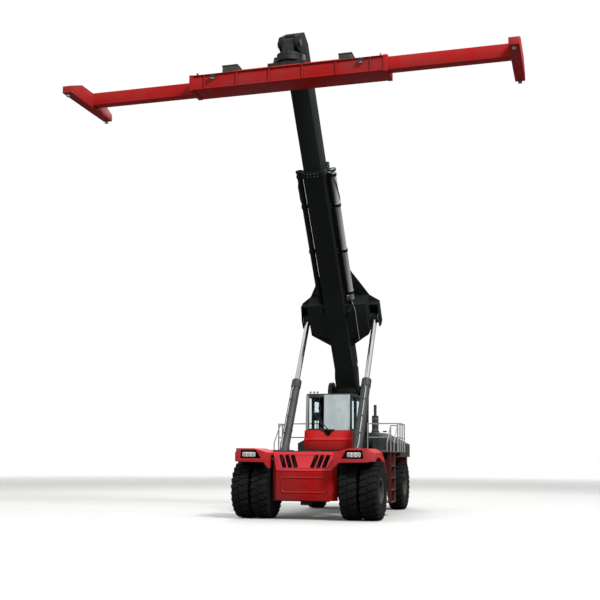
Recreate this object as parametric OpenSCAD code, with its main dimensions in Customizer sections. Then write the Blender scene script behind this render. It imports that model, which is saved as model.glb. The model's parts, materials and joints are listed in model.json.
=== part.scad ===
// Container reach stacker, parked with its telescopic boom raised and its spreader opened out.
// The machine's front faces -Y, +X is its left side and Z = 0 is the ground.
// Lengths along the machine are counted from the drive axle, and at_frame() then moves every
// piece so that the origin lies on the ground under the middle of the whole machine.

/* [Machine] */
// Distance from the drive axle back to the steering axle
wheelbase = 6000; // [5900:20:6300]
// Distance between the middles of the two twin wheel sets
drive_track = 3068; // [3040:4:3120]
// Distance between the middles of the two steering wheels
steer_track = 2808; // [2780:4:2860]
// Rear face of the counterweight, counted from the steering axle
rear_overhang = 1450; // [1350:10:1600]

/* [Tyres and wheels] */
// Outer radius of a tyre, over its lugs
tyre_r = 810; // [800:2:820]
// Width of one tyre
tyre_w = 500; // [480:2:510]
// Distance between the middles of twin tyres
twin_pitch = 560; // [550:2:580]
// Radius of a rim where the tyre sits on it
rim_r = 318; // [310:2:330]
// Depth of the tread lugs
lug_h = 42; // [30:2:50]
// Width of one tread lug, along the tread
lug_w = 112; // [90:2:120]
// Lugs in each of a tyre's two rows
lug_count = 26; // [22:1:27]
// Turn of a lug away from straight across the tread
lug_slant = 16; // [0:1:22]
// Radius of the drive hubs, over their planet gears
hub_r = 235; // [210:5:250]
// Radius of the spindle that carries a drive hub
spindle_r = 130; // [110:5:150]
// Radius of the spindle that carries a steering wheel
stub_r = 70; // [60:2:80]

/* [Chassis] */
// Outer half width of the two long frame beams
frame_half_w = 500; // [490:2:510]
// Width of one frame beam
beam_w = 190; // [150:10:200]
// Height of the frame beams' lower face
frame_z0 = 1060; // [1040:5:1080]
// Height of the frame beams' upper face
frame_z1 = 1650; // [1620:5:1680]
// Thickness of the decks' floor plates
deck_t = 30; // [20:5:40]
// Height of the decks' upper faces
deck_z = 1890; // [1880:5:1920]
// Half width over the side decks
deck_half_w = 1950; // [1900:10:2000]
// Height of the handrails above the decks
rail_h = 860; // [800:20:960]
// Radius of the handrail tubes
rail_r = 20; // [16:1:24]
// Radius of the axle housings
axle_r = 190; // [170:5:210]
// Distance from the steering wheel's middle in to its kingpin
kingpin_inset = 250; // [240:5:270]
// Radius of the kingpins
kingpin_r = 55; // [45:5:65]

/* [Front panels] */
// Half width of the front hood
hood_half_w = 920; // [900:5:940]
// Front face of the hood, ahead of the drive axle
hood_front = 600; // [580:5:640]
// Lower edge of the hood
hood_z0 = 530; // [500:10:560]
// Height at which the hood's front starts to slope back
hood_crease_z = 1350; // [1320:10:1380]
// Upper edge of the hood
hood_z1 = 1855; // [1840:5:1870]
// How far the hood's sloped upper front leans back
hood_slope = 120; // [80:5:150]
// Size of the chamfer on the hood's upright corners
hood_chamfer = 125; // [90:5:150]
// Outer half width over the front mudguards
guard_half_w = 2085; // [2075:5:2110]
// Upper face of the front mudguards
guard_z1 = 1950; // [1940:5:1970]
// Front face of the mudguards, ahead of the drive axle
guard_front = 950; // [930:5:980]
// Thickness of the mudguards' plates
guard_t = 40; // [30:2:50]

/* [Cab] */
// Width of the cab
cab_w = 1380; // [1340:10:1400]
// Front of the cab behind the drive axle, at the windscreen's foot
cab_front = 2050; // [2040:5:2080]
// Length of the cab
cab_l = 1750; // [1700:10:1800]
// Height of the windscreen's foot
sill_z = 2520; // [2480:10:2560]
// Height of the cab's roof
roof_z = 3630; // [3600:5:3650]
// Thickness of the cab's pillars and walls
cab_t = 55; // [45:5:65]
// Thickness of the window panes
glass_t = 8; // [6:1:10]
// Width of a cab door
door_w = 850; // [800:10:880]

/* [Boom] */
// Angle of the boom above level
boom_angle = 54; // [50:1:58]
// Boom pivot behind the drive axle
pivot_y = 4710; // [4680:10:4760]
// Height of the boom pivot
pivot_z = 3860; // [3840:10:3900]
// Width of the outer boom section
boom_w = 600; // [580:5:620]
// Depth of the outer boom section
boom_d = 800; // [780:5:820]
// Wall of the outer boom section
boom_t = 24; // [16:2:30]
// Middle of the boom section above its pivot, with the boom level
boom_rise = 260; // [250:2:280]
// Front end of the outer section from the pivot
boom_len = 7600; // [7500:50:7700]
// Room round the inner section for its wear pads
pad_gap = 14; // [10:1:18]
// Length of the inner section behind its head
inner_len = 7050; // [6900:50:7100]
// Head pin from the boom pivot, along the boom
head_reach = 11300; // [11000:50:11600]
// Head pin below the middle of the boom section
head_drop = 600; // [580:5:620]
// Lift cylinder pins from the pivot, along the boom
lift_reach = 2420; // [2380:10:2460]
// Lift cylinder pins above the pivot, with the boom level
lift_rise = 534; // [520:2:550]
// Radius of the pivot pin
pivot_pin_r = 95; // [80:5:110]

/* [Lift cylinders] */
// Distance from the machine's middle to each lift cylinder
lift_x = 1100; // [1090:2:1120]
// Lower pin behind the drive axle
lift_base_y = 930; // [920:5:950]
// Height of the lower pin
lift_base_z = 1550; // [1540:5:1570]
// Radius of a lift cylinder's barrel
barrel_r = 135; // [125:5:140]
// Radius of a lift cylinder's rod
lift_rod_r = 80; // [70:2:90]
// Length of a barrel from its pin to the end of its gland
barrel_len = 2920; // [2880:10:2940]
// Radius of the cylinders' pins
pin_r = 60; // [50:2:70]
// Half width of the cylinders' eyes
eye_half_w = 125; // [115:5:130]

/* [Head and spreader] */
// Distance from the head pin down to the corner locks' plane
spreader_drop = 1200; // [1180:5:1230]
// Half length of the spreader's main frame
main_half_l = 2750; // [2700:10:2800]
// Width of one of the main frame's two beams
main_beam_w = 340; // [320:5:350]
// Depth of the main frame's beams
main_beam_h = 400; // [380:5:410]
// Wall of the main frame's beams
main_beam_t = 15; // [10:1:20]
// Distance between the corner locks along the spreader, opened out
lock_span = 11985; // [11900:5:12100]
// Distance between the corner locks across the spreader
lock_gauge = 2259; // [2240:1:2280]
// Length that each telescopic beam pulls in
beam_stroke = 3065; // [3000:5:3100]
// Radius of the slewing ring
slew_r = 340; // [320:5:350]

/* [Clearances] */
// Running gap at pins, shafts, rods and wear pads
fit_gap = 0.8; // [0.5:0.1:0.9]
// Gap between pieces that only seat on each other
seat_gap = 0.3; // [0.2:0.1:0.5]
// Gap between pieces that move past each other
move_gap = 8; // [6:1:12]

/* [Hidden] */
$fn = 48;
eps = 1;
left = 1;
right = -1;

// Places that follow from the sizes above, along the machine from the drive axle
steer_y = wheelbase;
rear_y = steer_y + rear_overhang;
cab_rear = cab_front + cab_l;
boom_dir = [-cos(boom_angle), sin(boom_angle)];
boom_normal = [sin(boom_angle), cos(boom_angle)];
pivot = [pivot_y, pivot_z];
head = pivot + head_reach * boom_dir + (boom_rise - head_drop) * boom_normal;
lift_top = pivot + lift_reach * boom_dir + lift_rise * boom_normal;
lift_base = [lift_base_y, lift_base_z];
lift_travel = norm(lift_top - lift_base)
    - norm([pivot_y - lift_reach - lift_base_y, pivot_z + lift_rise - lift_base_z]);
lock_z = head[1] - spreader_drop;
end_beam_half_l = lock_gauge / 2 + 90;
frame_y = (rear_y + head[0] - end_beam_half_l) / 2;
drive_x = drive_track / 2;
steer_x = steer_track / 2;
kingpin_x = steer_x - kingpin_inset;
hood_rear = -430;
cover_half_w = 860;
counterweight_y = rear_y - 480;

module at_frame() {
    translate([0, -frame_y, 0]) children();
}

// Plain helpers
module box(x0, x1, y0, y1, z0, z1) {
    translate([x0, y0, z0]) cube([x1 - x0, y1 - y0, z1 - z0]);
}

// An outline in (y, z) made x0 to x1 thick
module across(x0, x1) {
    translate([x0, 0, 0]) rotate([90, 0, 90]) linear_extrude(x1 - x0) children();
}

// An outline in (x, z) made y0 to y1 long
module along(y0, y1) {
    translate([0, y1, 0]) rotate([90, 0, 0]) linear_extrude(y1 - y0) children();
}

// A round bar along X
module bar_x(x0, x1, r, y = 0, z = 0) {
    translate([x0, y, z]) rotate([0, 90, 0]) cylinder(h = x1 - x0, r = r);
}

// A round bar from point p to point q
module bar(p, q, r) {
    d = q - p;
    translate(p) rotate([0, acos(d[2] / norm(d)), atan2(d[1], d[0])])
        cylinder(h = norm(d), r = r);
}

// A tube of straight bars through the points, with a ball at each bend
module bent_bar(points, r) {
    for (i = [1:len(points) - 1]) bar(points[i - 1], points[i], r);
    for (i = [1:1:len(points) - 2]) translate(points[i]) sphere(r = r, $fn = 24);
}

module mirrored(side) {
    if (side == left) children();
    else mirror([1, 0, 0]) children();
}

module both() {
    children();
    mirror([1, 0, 0]) children();
}

// Tyres, rims and hubs, turning about X at the wheel's middle
module tyre_carcass() {
    h = tyre_w / 2;
    tread = tyre_r - lug_h;
    rotate([0, 90, 0]) rotate_extrude($fn = 72) polygon([
        [rim_r + seat_gap, -h + 62], [rim_r + 40, -h + 42], [rim_r + 110, -h + 14],
        [rim_r + 210, -h], [tread - 120, -h + 2], [tread - 45, -h + 12], [tread, -h + 45],
        [tread, h - 45], [tread - 45, h - 12], [tread - 120, h - 2], [rim_r + 210, h],
        [rim_r + 110, h - 14], [rim_r + 40, h - 42], [rim_r + seat_gap, h - 62]]);
}

// One lug of the row at +X, standing on the tread at the top of the tyre
module tyre_lug() {
    h = tyre_w / 2;
    middle = h / 2;
    reach = middle * sin(lug_slant) + lug_w / 2 * cos(lug_slant);
    top = sqrt(tyre_r * tyre_r - reach * reach);
    foot = tyre_r - lug_h - 14;
    translate([middle, 0, 0]) rotate([0, 0, lug_slant]) translate([-middle, 0, 0])
        rotate([90, 0, 0]) translate([0, 0, -lug_w / 2]) linear_extrude(lug_w) polygon([
            [12, foot], [12, top], [h - 34, top], [h - 8, top - 26], [h - 1, foot - 64],
            [h - 22, foot - 64], [h - 60, foot]]);
}

module tyre() {
    pitch = 360 / lug_count;
    tyre_carcass();
    for (i = [0:lug_count - 1]) {
        rotate([i * pitch, 0, 0]) tyre_lug();
        rotate([(i + 0.5) * pitch, 0, 0]) mirror([1, 0, 0]) tyre_lug();
    }
}

// A rim's barrel with its two flanges
module rim_barrel() {
    h = tyre_w / 2;
    rotate([0, 90, 0]) rotate_extrude() polygon([
        [rim_r - 18, -h + 60], [rim_r - 6, -h + 36], [rim_r + 34, -h + 26],
        [rim_r + 34, -h + 40], [rim_r, -h + 62], [rim_r, h - 62], [rim_r + 34, h - 40],
        [rim_r + 34, h - 26], [rim_r - 6, h - 36], [rim_r - 18, h - 60]]);
}

module hub_bolts(count, circle_r, r, x0, x1) {
    for (i = [0:count - 1]) rotate([i * 360 / count, 0, 0])
        bar_x(x0, x1, r, 0, circle_r, $fn = 12);
}

module drive_tyres() {
    for (x = [-0.5, 0.5]) translate([x * twin_pitch, 0, 0]) tyre();
}

// Twin rims on one hub: +X is outwards
module drive_rims() {
    disc_t = 26;
    hub_in = -twin_pitch / 2 - 60;
    outer_disc = twin_pitch / 2 - tyre_w / 2 + 100;
    difference() {
        union() {
            for (x = [-0.5, 0.5]) translate([x * twin_pitch, 0, 0]) rim_barrel();
            bar_x(-disc_t, disc_t, rim_r - 4);
            bar_x(hub_in, 60, hub_r);
            bar_x(60, 210, hub_r - 30);
            bar_x(210, 236, hub_r - 75);
            rotate([0, 90, 0]) translate([0, 0, -disc_t]) cylinder(h = 60, r = rim_r - 40);
            for (x = [-0.5, 0.5]) translate([x * twin_pitch, 0, 0])
                bar_x(x > 0 ? -tyre_w / 2 + 60 : tyre_w / 2 - 100,
                      x > 0 ? -tyre_w / 2 + 100 : tyre_w / 2 - 60, rim_r - 4);
            bar_x(-outer_disc, outer_disc, rim_r - 60);
        }
        bar_x(hub_in - eps, 120, spindle_r + fit_gap);
    }
    hub_bolts(20, hub_r + 50, 14, outer_disc - eps, outer_disc + 28);
}

module drive_wheel_place(side) {
    at_frame() translate([side * drive_x, 0, tyre_r]) mirrored(side) children();
}

module drive_tyres_left() {
    color("#232623") drive_wheel_place(left) drive_tyres();
}

module drive_tyres_right() {
    color("#232623") drive_wheel_place(right) drive_tyres();
}

module drive_rims_left() {
    color("#5a5d5c") drive_wheel_place(left) drive_rims();
}

module drive_rims_right() {
    color("#5a5d5c") drive_wheel_place(right) drive_rims();
}

// A steering rim, dished out: +X is outwards
module steer_rim() {
    disc_x = 40;
    difference() {
        union() {
            rim_barrel();
            bar_x(disc_x, disc_x + 24, rim_r - 4);
            bar_x(-70, 130, stub_r + 65);
            bar_x(130, 160, stub_r + 30);
        }
        bar_x(-70 - eps, 110, stub_r + fit_gap);
        hub_bolts(10, rim_r - 62, 32, disc_x - eps, disc_x + 24 + eps);
    }
    hub_bolts(10, stub_r + 95, 12, disc_x, disc_x + 50);
}

module steer_wheel_place(side) {
    at_frame() translate([side * steer_x, steer_y, tyre_r]) mirrored(side) children();
}

module steer_tyre_left() {
    color("#232623") steer_wheel_place(left) tyre();
}

module steer_tyre_right() {
    color("#232623") steer_wheel_place(right) tyre();
}

module steer_rim_left() {
    color("#5a5d5c") steer_wheel_place(left) steer_rim();
}

module steer_rim_right() {
    color("#5a5d5c") steer_wheel_place(right) steer_rim();
}

// Drive axle: housing, swollen middle, brake drums and spindles
drum_x = drive_x - twin_pitch / 2 - 60 - move_gap;
axle_pad_z = frame_z0 + 90;
middle_r = 372;
module drive_axle() {
    color("#3c4040") at_frame() translate([0, 0, tyre_r]) {
        rotate([0, 90, 0]) rotate_extrude() polygon([
            [0, -drum_x], [axle_r, -drum_x], [axle_r, -360], [axle_r + 40, -300],
            [axle_r + 140, -200], [middle_r, -90], [middle_r, 90], [axle_r + 140, 200],
            [axle_r + 40, 300], [axle_r, 360], [axle_r, drum_x], [0, drum_x]]);
        translate([0, -100, 0]) rotate([90, 0, 0]) cylinder(h = middle_r - 80, r = 205);
        both() {
            bar_x(drum_x - 160, drum_x, hub_r - 10);
            bar_x(drum_x - eps, drive_x + 110, spindle_r);
            box(560, 760, -230, 230, 0, axle_pad_z - tyre_r - seat_gap);
        }
    }
}

// Steering axle: a deep beam with forks at its ends and the steering cylinder behind it
fork_h = 190;
steer_rod_r = 38;
steer_rod_y = 270;
steer_arm = 220;
steer_arm_lean = 70;
fork_cut = 345;
fork_arm_r = 115;
steer_barrel_half_l = 400;
steer_rod_half_l = 720;
module steer_axle() {
    color("#3c4040") at_frame() translate([0, steer_y, tyre_r]) {
        difference() {
            union() {
                root_x = kingpin_x - fork_cut;
                along(-170, 170) polygon([
                    [-root_x, -fork_h], [-root_x + 80, -fork_h], [-root_x + 200, -150],
                    [root_x - 200, -150], [root_x - 80, -fork_h], [root_x, -fork_h],
                    [root_x, fork_h], [-root_x, fork_h]]);
                both() {
                    box(root_x - eps, kingpin_x, -fork_arm_r, fork_arm_r, -fork_h, fork_h);
                    translate([kingpin_x, 0, -fork_h]) cylinder(h = 2 * fork_h, r = fork_arm_r);
                }
                box(-150, 150, -330, 330, 120, frame_z0 - tyre_r - seat_gap);
                bar_x(-steer_barrel_half_l, steer_barrel_half_l, 85, steer_rod_y, 0);
                box(-steer_barrel_half_l + 40, steer_barrel_half_l - 40,
                    150, steer_rod_y, -60, 60);
            }
            both() box(kingpin_x - fork_cut, kingpin_x + 200, -200, 200,
                       -fork_h + 70, fork_h - 70);
            bar_x(-steer_barrel_half_l - eps, steer_barrel_half_l + eps,
                  steer_rod_r + fit_gap, steer_rod_y, 0);
        }
        both() translate([kingpin_x, 0, -fork_h]) cylinder(h = 2 * fork_h, r = kingpin_r);
    }
}

// A knuckle turns on its kingpin, carries the wheel's spindle and is pushed by its arm
module knuckle() {
    h = fork_h - 70 - move_gap;
    difference() {
        union() {
            translate([0, 0, -h]) cylinder(h = 2 * h, r = 120);
            bar_x(60, kingpin_inset - 82, 118);
            bar_x(60, kingpin_inset + 95, stub_r);
            translate([0, 0, -h]) linear_extrude(60) polygon([
                [-100, 40], [60, 90], [-steer_arm_lean + 46, steer_arm - 10],
                [-steer_arm_lean - 46, steer_arm - 10]]);
            translate([-steer_arm_lean, steer_arm, -h]) cylinder(h = 60, r = 50);
        }
        translate([0, 0, -h - eps]) cylinder(h = 2 * h + 2 * eps, r = kingpin_r + fit_gap);
    }
}

module knuckle_place(side) {
    at_frame() translate([side * kingpin_x, steer_y, tyre_r]) mirrored(side) children();
}

module knuckle_left() {
    color("#45494a") knuckle_place(left) knuckle();
}

module knuckle_right() {
    color("#45494a") knuckle_place(right) knuckle();
}

module steer_rod() {
    color("#c6cacb") at_frame() translate([0, steer_y + steer_rod_y, tyre_r]) {
        bar_x(-steer_rod_half_l, steer_rod_half_l, steer_rod_r);
        both() translate([steer_rod_half_l, 0, -steer_rod_r - 4])
            cylinder(h = 2 * steer_rod_r + 8, r = 50);
    }
}

// A flat link on each side, from the rod's end to the knuckle's arm and under both
link_z = -(fork_h - 70 - move_gap) - move_gap - 40;
link_r = 42;
module steer_links() {
    p = [steer_rod_half_l, steer_rod_y];
    q = [kingpin_x - steer_arm_lean, steer_arm];
    reach = norm(q - p);
    turn = atan2(q[1] - p[1], q[0] - p[0]);
    color("#45494a") at_frame() both() translate([p[0], steer_y + p[1], tyre_r + link_z]) {
        linear_extrude(40) rotate(turn) {
            translate([0, -link_r * 0.8]) square([reach, link_r * 1.6]);
            circle(r = link_r);
            translate([reach, 0]) circle(r = link_r);
        }
        translate([0, 0, 20])
            cylinder(h = -link_z - 20 - steer_rod_r - 4 - seat_gap, r = 30);
        rotate([0, 0, turn]) translate([reach, 0, 20])
            cylinder(h = 20 + move_gap - fit_gap, r = link_r * 0.7);
    }
}

// Chassis: two long beams, cross members, cylinder brackets and the boom's uprights
upright_x0 = frame_half_w - 10;
upright_x1 = frame_half_w + 120;
upright_boss_r = 300;
bracket_t = 36;
outrigger_ys = [2010, 2900, 3950];
stool_ys = [-200, 1050];
guard_seat_z = 1760;
base_eye_half_w = 155;
module chassis_frame() {
    beam_x0 = frame_half_w - beam_w;
    cross = [[1000, 1250], [2600, 2800], [4050, 4300], [5100, 5350],
             [counterweight_y - 140, counterweight_y]];
    color("#2c3130") at_frame() {
        for (c = cross)
            box(-frame_half_w, frame_half_w, c[0], c[1], frame_z0 + 80, frame_z1 - 80);
        // above the drive axle's swollen middle, and the steering axle's seat
        box(-frame_half_w, frame_half_w, -300, 300, frame_z0 + 140, frame_z1 - 80);
        box(-frame_half_w, frame_half_w, steer_y - 300, steer_y + 300, frame_z0,
            frame_z1 - 80);
        bar_x(-upright_x1 - 30, upright_x1 + 30, pivot_pin_r, pivot_y, pivot_z);
        both() {
            box(beam_x0, frame_half_w, hood_rear + seat_gap, counterweight_y, frame_z0,
                frame_z1);
            box(frame_half_w - 10, hood_half_w - 60, -280, 280, axle_pad_z, frame_z1 - 120);
            guard_stay();
            for (y = stool_ys)
                box(beam_x0, frame_half_w, y, y + 120, frame_z1 - eps, hood_z1);
            across(upright_x0, upright_x1) upright_outline();
            bar_x(upright_x1, upright_x1 + 30, upright_boss_r - 110, pivot_y, pivot_z);
            lift_bracket();
            for (y = outrigger_ys) outrigger(y);
        }
    }
}

// Stay under the mudguard's top plate
module guard_stay() {
    top = guard_seat_z - seat_gap;
    along(-60, 60) polygon([
        [hood_half_w - 70, 1500], [hood_half_w - 70, top], [1240, top], [1240, top - 50],
        [940, top - 70], [900, 1500]]);
}

module upright_outline() {
    difference() {
        union() {
            polygon([[pivot_y - 620, frame_z0], [pivot_y + 290, frame_z0],
                     [pivot_y + 290, 2300], [pivot_y + 260, 3000],
                     [pivot_y + upright_boss_r, pivot_z], [pivot_y - upright_boss_r, pivot_z],
                     [pivot_y - 420, 2900], [pivot_y - 620, 2100]]);
            translate(pivot) circle(r = upright_boss_r);
        }
        translate([pivot_y - 110, 2350]) circle(r = 190);
    }
}

module lift_bracket() {
    inner = base_eye_half_w + move_gap;
    outer = inner + bracket_t;
    for (x = [lift_x - outer, lift_x + inner])
        across(x, x + bracket_t) {
            translate(lift_base) circle(r = 165);
            polygon([[lift_base_y - 40, 1180], [lift_base_y + 330, 1180],
                     [lift_base_y + 330, 1330], [lift_base_y + 150, lift_base_z + 60],
                     [lift_base_y - 160, lift_base_z]]);
        }
    box(frame_half_w - 10, lift_x + outer, lift_base_y + 10, lift_base_y + 330, 1180, 1330);
    bar_x(lift_x - outer - 20, lift_x + outer + 20, pin_r, lift_base_y, lift_base_z);
}

// A bracket under the decks, tapering outwards
module outrigger(y) {
    along(y, y + 120) polygon([
        [frame_half_w - 10, frame_z1 - 300], [frame_half_w - 10, deck_z - deck_t - seat_gap],
        [deck_half_w - 120, deck_z - deck_t - seat_gap], [deck_half_w - 120, deck_z - 110]]);
}

// Front hood: side profile, plan and chamfers cut from one block, with slanted vents
module front_hood() {
    y0 = -hood_front;
    color("#a8201f") at_frame() difference() {
        intersection() {
            across(-hood_half_w, hood_half_w) polygon([
                [y0, hood_z0], [y0, hood_crease_z], [y0 + hood_slope, hood_z1],
                [hood_rear, hood_z1], [hood_rear, hood_z0]]);
            translate([0, 0, hood_z0]) linear_extrude(hood_z1 - hood_z0) polygon([
                [-hood_half_w, hood_rear], [-hood_half_w, y0 + hood_chamfer],
                [-hood_half_w + hood_chamfer, y0], [hood_half_w - hood_chamfer, y0],
                [hood_half_w, y0 + hood_chamfer], [hood_half_w, hood_rear]]);
        }
        both() for (i = [0:2]) hood_vent(vent_x + i * vent_pitch);
    }
}

vent_x = 285;
vent_pitch = 165;
vent_w = 90;
vent_lean = 110;
vent_z0 = 1480;
vent_z1 = 1765;
module hood_vent(x) {
    along(-hood_front - eps, hood_rear + eps) polygon([
        [x, vent_z0], [x + vent_w, vent_z0], [x + vent_w + vent_lean, vent_z1],
        [x + vent_lean, vent_z1]]);
}

// Mudguards: a bent front face, a flat top with a lamp recess and a curved tail
lamp_x0 = 1120;
lamp_x1 = 1750;
lamp_z0 = 1670;
lamp_z1 = 1900;
guard_arc_r = tyre_r + 90;
guard_x0 = hood_half_w + seat_gap;
module guard_front_outline() {
    polygon([[guard_x0, hood_z1 - 20], [guard_x0, 1410], [1060, 1570],
             [1905, 1580], [1880, guard_z1], [1330, guard_z1]]);
}

module mudguard() {
    difference() {
        union() {
            along(-guard_front, -guard_front + 260) guard_front_outline();
            along(-guard_front + 240, 120) polygon([
                [guard_x0, hood_z1 - 20], [guard_x0, guard_seat_z], [1250, guard_seat_z],
                [1300, guard_z1 - guard_t], [guard_half_w, guard_z1 - guard_t],
                [guard_half_w, guard_z1], [1330, guard_z1]]);
            across(1340, guard_half_w) difference() {
                translate([0, tyre_r]) circle(r = guard_z1 - tyre_r, $fn = 180);
                translate([0, tyre_r]) circle(r = guard_z1 - tyre_r - guard_t, $fn = 180);
                translate([-2000, -2000]) square([2119, 4800]);
                translate([-2000, -2000]) square([4000, 2000 + 1250]);
            }
            across(guard_half_w - 30, guard_half_w) difference() {
                polygon([[-guard_front + 20, 1600], [-guard_front + 60, guard_z1 - 5],
                         [120, guard_z1 - 5], [700, guard_z1 - 260], [880, 1600]]);
                translate([0, tyre_r]) circle(r = guard_arc_r, $fn = 180);
            }
        }
        along(-guard_front - eps, -guard_front + 90) polygon([
            [lamp_x0, lamp_z0], [lamp_x1, lamp_z0], [lamp_x1 - 40, lamp_z1],
            [lamp_x0 + 150, lamp_z1]]);
        along(-guard_front - 50, -guard_front + 300) polygon([
            [guard_half_w + 50, 1300], [1905, 1300], [1905, 1580], [1880, 2100],
            [guard_half_w + 50, 2100]]);
    }
    // the corner that joins the front face to the outer side
    translate([0, 0, 1600]) linear_extrude(guard_z1 - 1605) polygon([
        [1870, -guard_front + 2], [guard_half_w, -guard_front + 260],
        [guard_half_w, -guard_front + 320], [1870, -guard_front + 320]]);
}

module mudguards() {
    color("#c03034") at_frame() both() mudguard();
}

// Lamps: three-unit headlamps in the recesses and round tail lamps in the counterweight
tail_lamp_x = 950;
tail_lamp_z = 1480;
tail_lamp_r = 62;
module lamps() {
    color("#e8e8e0") at_frame() both() {
        for (i = [0:2])
            box(lamp_x0 + 190 + i * 120, lamp_x0 + 300 + i * 120, -guard_front + 40,
                -guard_front + 90 - seat_gap, lamp_z0 + 50, lamp_z1 - 50);
        for (i = [0:1]) translate([tail_lamp_x + i * 170, rear_y + seat_gap, tail_lamp_z])
            rotate([-90, 0, 0]) cylinder(h = 28, r = tail_lamp_r);
    }
}

// Counterweight: a full width casting behind the steering wheels
jaw_z = 1010;
tow_pin_r = 26;
module counterweight() {
    y0 = counterweight_y + seat_gap;
    color("#a8201f") at_frame() difference() {
        intersection() {
            across(-1500, 1500) polygon([
                [y0, 700], [rear_y - 160, 700], [rear_y, 900], [rear_y, 1700],
                [rear_y - 60, 1880], [y0, 1880]]);
            translate([0, 0, 600]) linear_extrude(1400) polygon([
                [-1500, y0], [-1500, rear_y - 260], [-1240, rear_y], [1240, rear_y],
                [1500, rear_y - 260], [1500, y0]]);
        }
        // the towing jaw, the recess above it and the bore that its pin drops through
        box(-110, 110, rear_y - 190, rear_y + eps, jaw_z, jaw_z + 80);
        box(-130, 130, rear_y - 190, rear_y + eps, jaw_z + 140, jaw_z + 420);
        translate([0, rear_y - 90, jaw_z - 60]) cylinder(h = 1000, r = tow_pin_r);
    }
}

// Engine as one block
module engine_block() {
    color("#565b5a") at_frame()
        box(-380, 380, cover_y0 + 180, counterweight_y - 250, frame_z1 + seat_gap, 2420);
}

// Engine cover: a hood over the rear of the chassis, open below, with louvres
cover_z = 2530;
cover_y0 = pivot_y + 560;
cover_y1 = counterweight_y;
cover_t = 30;
module engine_cover() {
    color("#33393a") at_frame() difference() {
        box(-cover_half_w, cover_half_w, cover_y0, cover_y1, frame_z1 + seat_gap, cover_z);
        box(-cover_half_w + cover_t, cover_half_w - cover_t, cover_y0 + cover_t,
            cover_y1 - cover_t, frame_z1, cover_z - cover_t);
        for (i = [0:7])
            box(-560, 560, cover_y1 - cover_t - eps, cover_y1 + eps,
                deck_z + 90 + i * 60, deck_z + 120 + i * 60);
        both() for (i = [0:6])
            box(130 + i * 90, 170 + i * 90, cover_y0 + 350, cover_y0 + 950,
                cover_z - cover_t - eps, cover_z + eps);
    }
}

// Side tanks: boxes with sloped tops beside the engine, over the steering wheels
tank_front = 4400;
tank_x1 = 1630;
tank_x0 = cover_half_w + seat_gap;
tank_z0 = tyre_r * 2 + 110;
module side_tank() {
    along(tank_front, counterweight_y - 20) polygon([
        [tank_x0, tank_z0], [tank_x0, cover_z], [tank_x0 + 30, cover_z],
        [tank_x1, 2160], [tank_x1, tank_z0]]);
    box(upright_x1 + seat_gap, 1300, tank_front, steer_y - 980, 1000, tank_z0 + eps);
}

module side_tanks() {
    color("#3a4443") at_frame() both() side_tank();
}

// Decks with their ladders
step_count = 4;
ladder_y0 = 1900;
ladder_y1 = 2600;
step_z0 = 420;
step_pitch = 350;
module ladder() {
    x0 = deck_half_w - 210;
    for (y = [ladder_y0, ladder_y1 - 30])
        along(y, y + 30) polygon([
            [x0 + 130, step_z0 - 40], [x0 + 210, step_z0 - 40], [x0 + 210, deck_z - 20],
            [x0 + 60, deck_z - 20]]);
    for (i = [0:step_count - 1])
        box(x0 + 60, x0 + 210, ladder_y0, ladder_y1, step_z0 + i * step_pitch - 25,
            step_z0 + i * step_pitch);
}

deck_front = lift_base_y + 470;
inner_deck_x = upright_x1 + 60;
cab_mount_h = 30;
module platforms() {
    front_z = hood_z1 + seat_gap;
    color("#34393a") at_frame() {
        box(-hood_half_w, hood_half_w, -hood_front + hood_slope, cab_front - 60, front_z,
            front_z + deck_t);
        box(-inner_deck_x - eps, inner_deck_x + eps, cab_front - 60 - eps, cab_rear + 200,
            deck_z - deck_t, deck_z);
        both() {
            box(inner_deck_x, deck_half_w, deck_front, tank_front - 20,
                deck_z - deck_t, deck_z);
            for (y = [cab_front + 150, cab_rear - 150])
                translate([cab_w / 2 - 150, y, deck_z])
                    cylinder(h = cab_mount_h - seat_gap, r = 60);
            box(hood_half_w - 40, deck_half_w, deck_front, deck_front + 60,
                deck_z - deck_t, deck_z + 30);
            ladder();
        }
    }
}

// Handrails along the decks' outer edges
rail_y0 = 3200;
module handrails() {
    x = deck_half_w - 40;
    top = deck_z + rail_h;
    foot = deck_z + seat_gap;
    y0 = rail_y0;
    y1 = tank_front - 60;
    color("#b9bfbd") at_frame() both() {
        bent_bar([[x, y0, foot], [x, y0, top], [x, y1, top], [x, y1, foot]], rail_r);
        // grab rails falling towards the ladder
        for (k = [x - 20, x - 230])
            bent_bar([[k, y0 + 40, top - 60], [k, ladder_y1 + 60, foot + 260],
                      [k, ladder_y1 + 60, foot]], rail_r * 0.8);
        bar([x - 230, y0 + 40, foot], [x - 230, y0 + 40, top - 60], rail_r);
        bar([x - 230, y0 + 40, top - 60], [x, y0, top - 60], rail_r * 0.8);
        bar([x, y0, (foot + top) / 2], [x, y1, (foot + top) / 2], rail_r * 0.8);
        for (k = [1:2]) bar([x, y0 + (y1 - y0) * k / 3, foot],
                            [x, y0 + (y1 - y0) * k / 3, top], rail_r);
    }
}

// Exhaust stack with its silencer, and the air filter on the other side
module exhaust_and_filter() {
    x = 720;
    y = cover_y0 + 260;
    z = cover_z + seat_gap;
    color("#4b4f4e") at_frame() {
        translate([x, y, z]) cylinder(h = 60, r = 130);
        translate([x, y, z + 40]) cylinder(h = 520, r = 110);
        translate([x, y, z + 540]) cylinder(h = 380, r = 48);
        translate([-x, y, z]) cylinder(h = 90, r = 110);
        translate([-x, y, z + 60]) cylinder(h = 420, r = 165);
        translate([-x, y, z + 460]) cylinder(h = 120, r = 90);
    }
}

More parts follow.
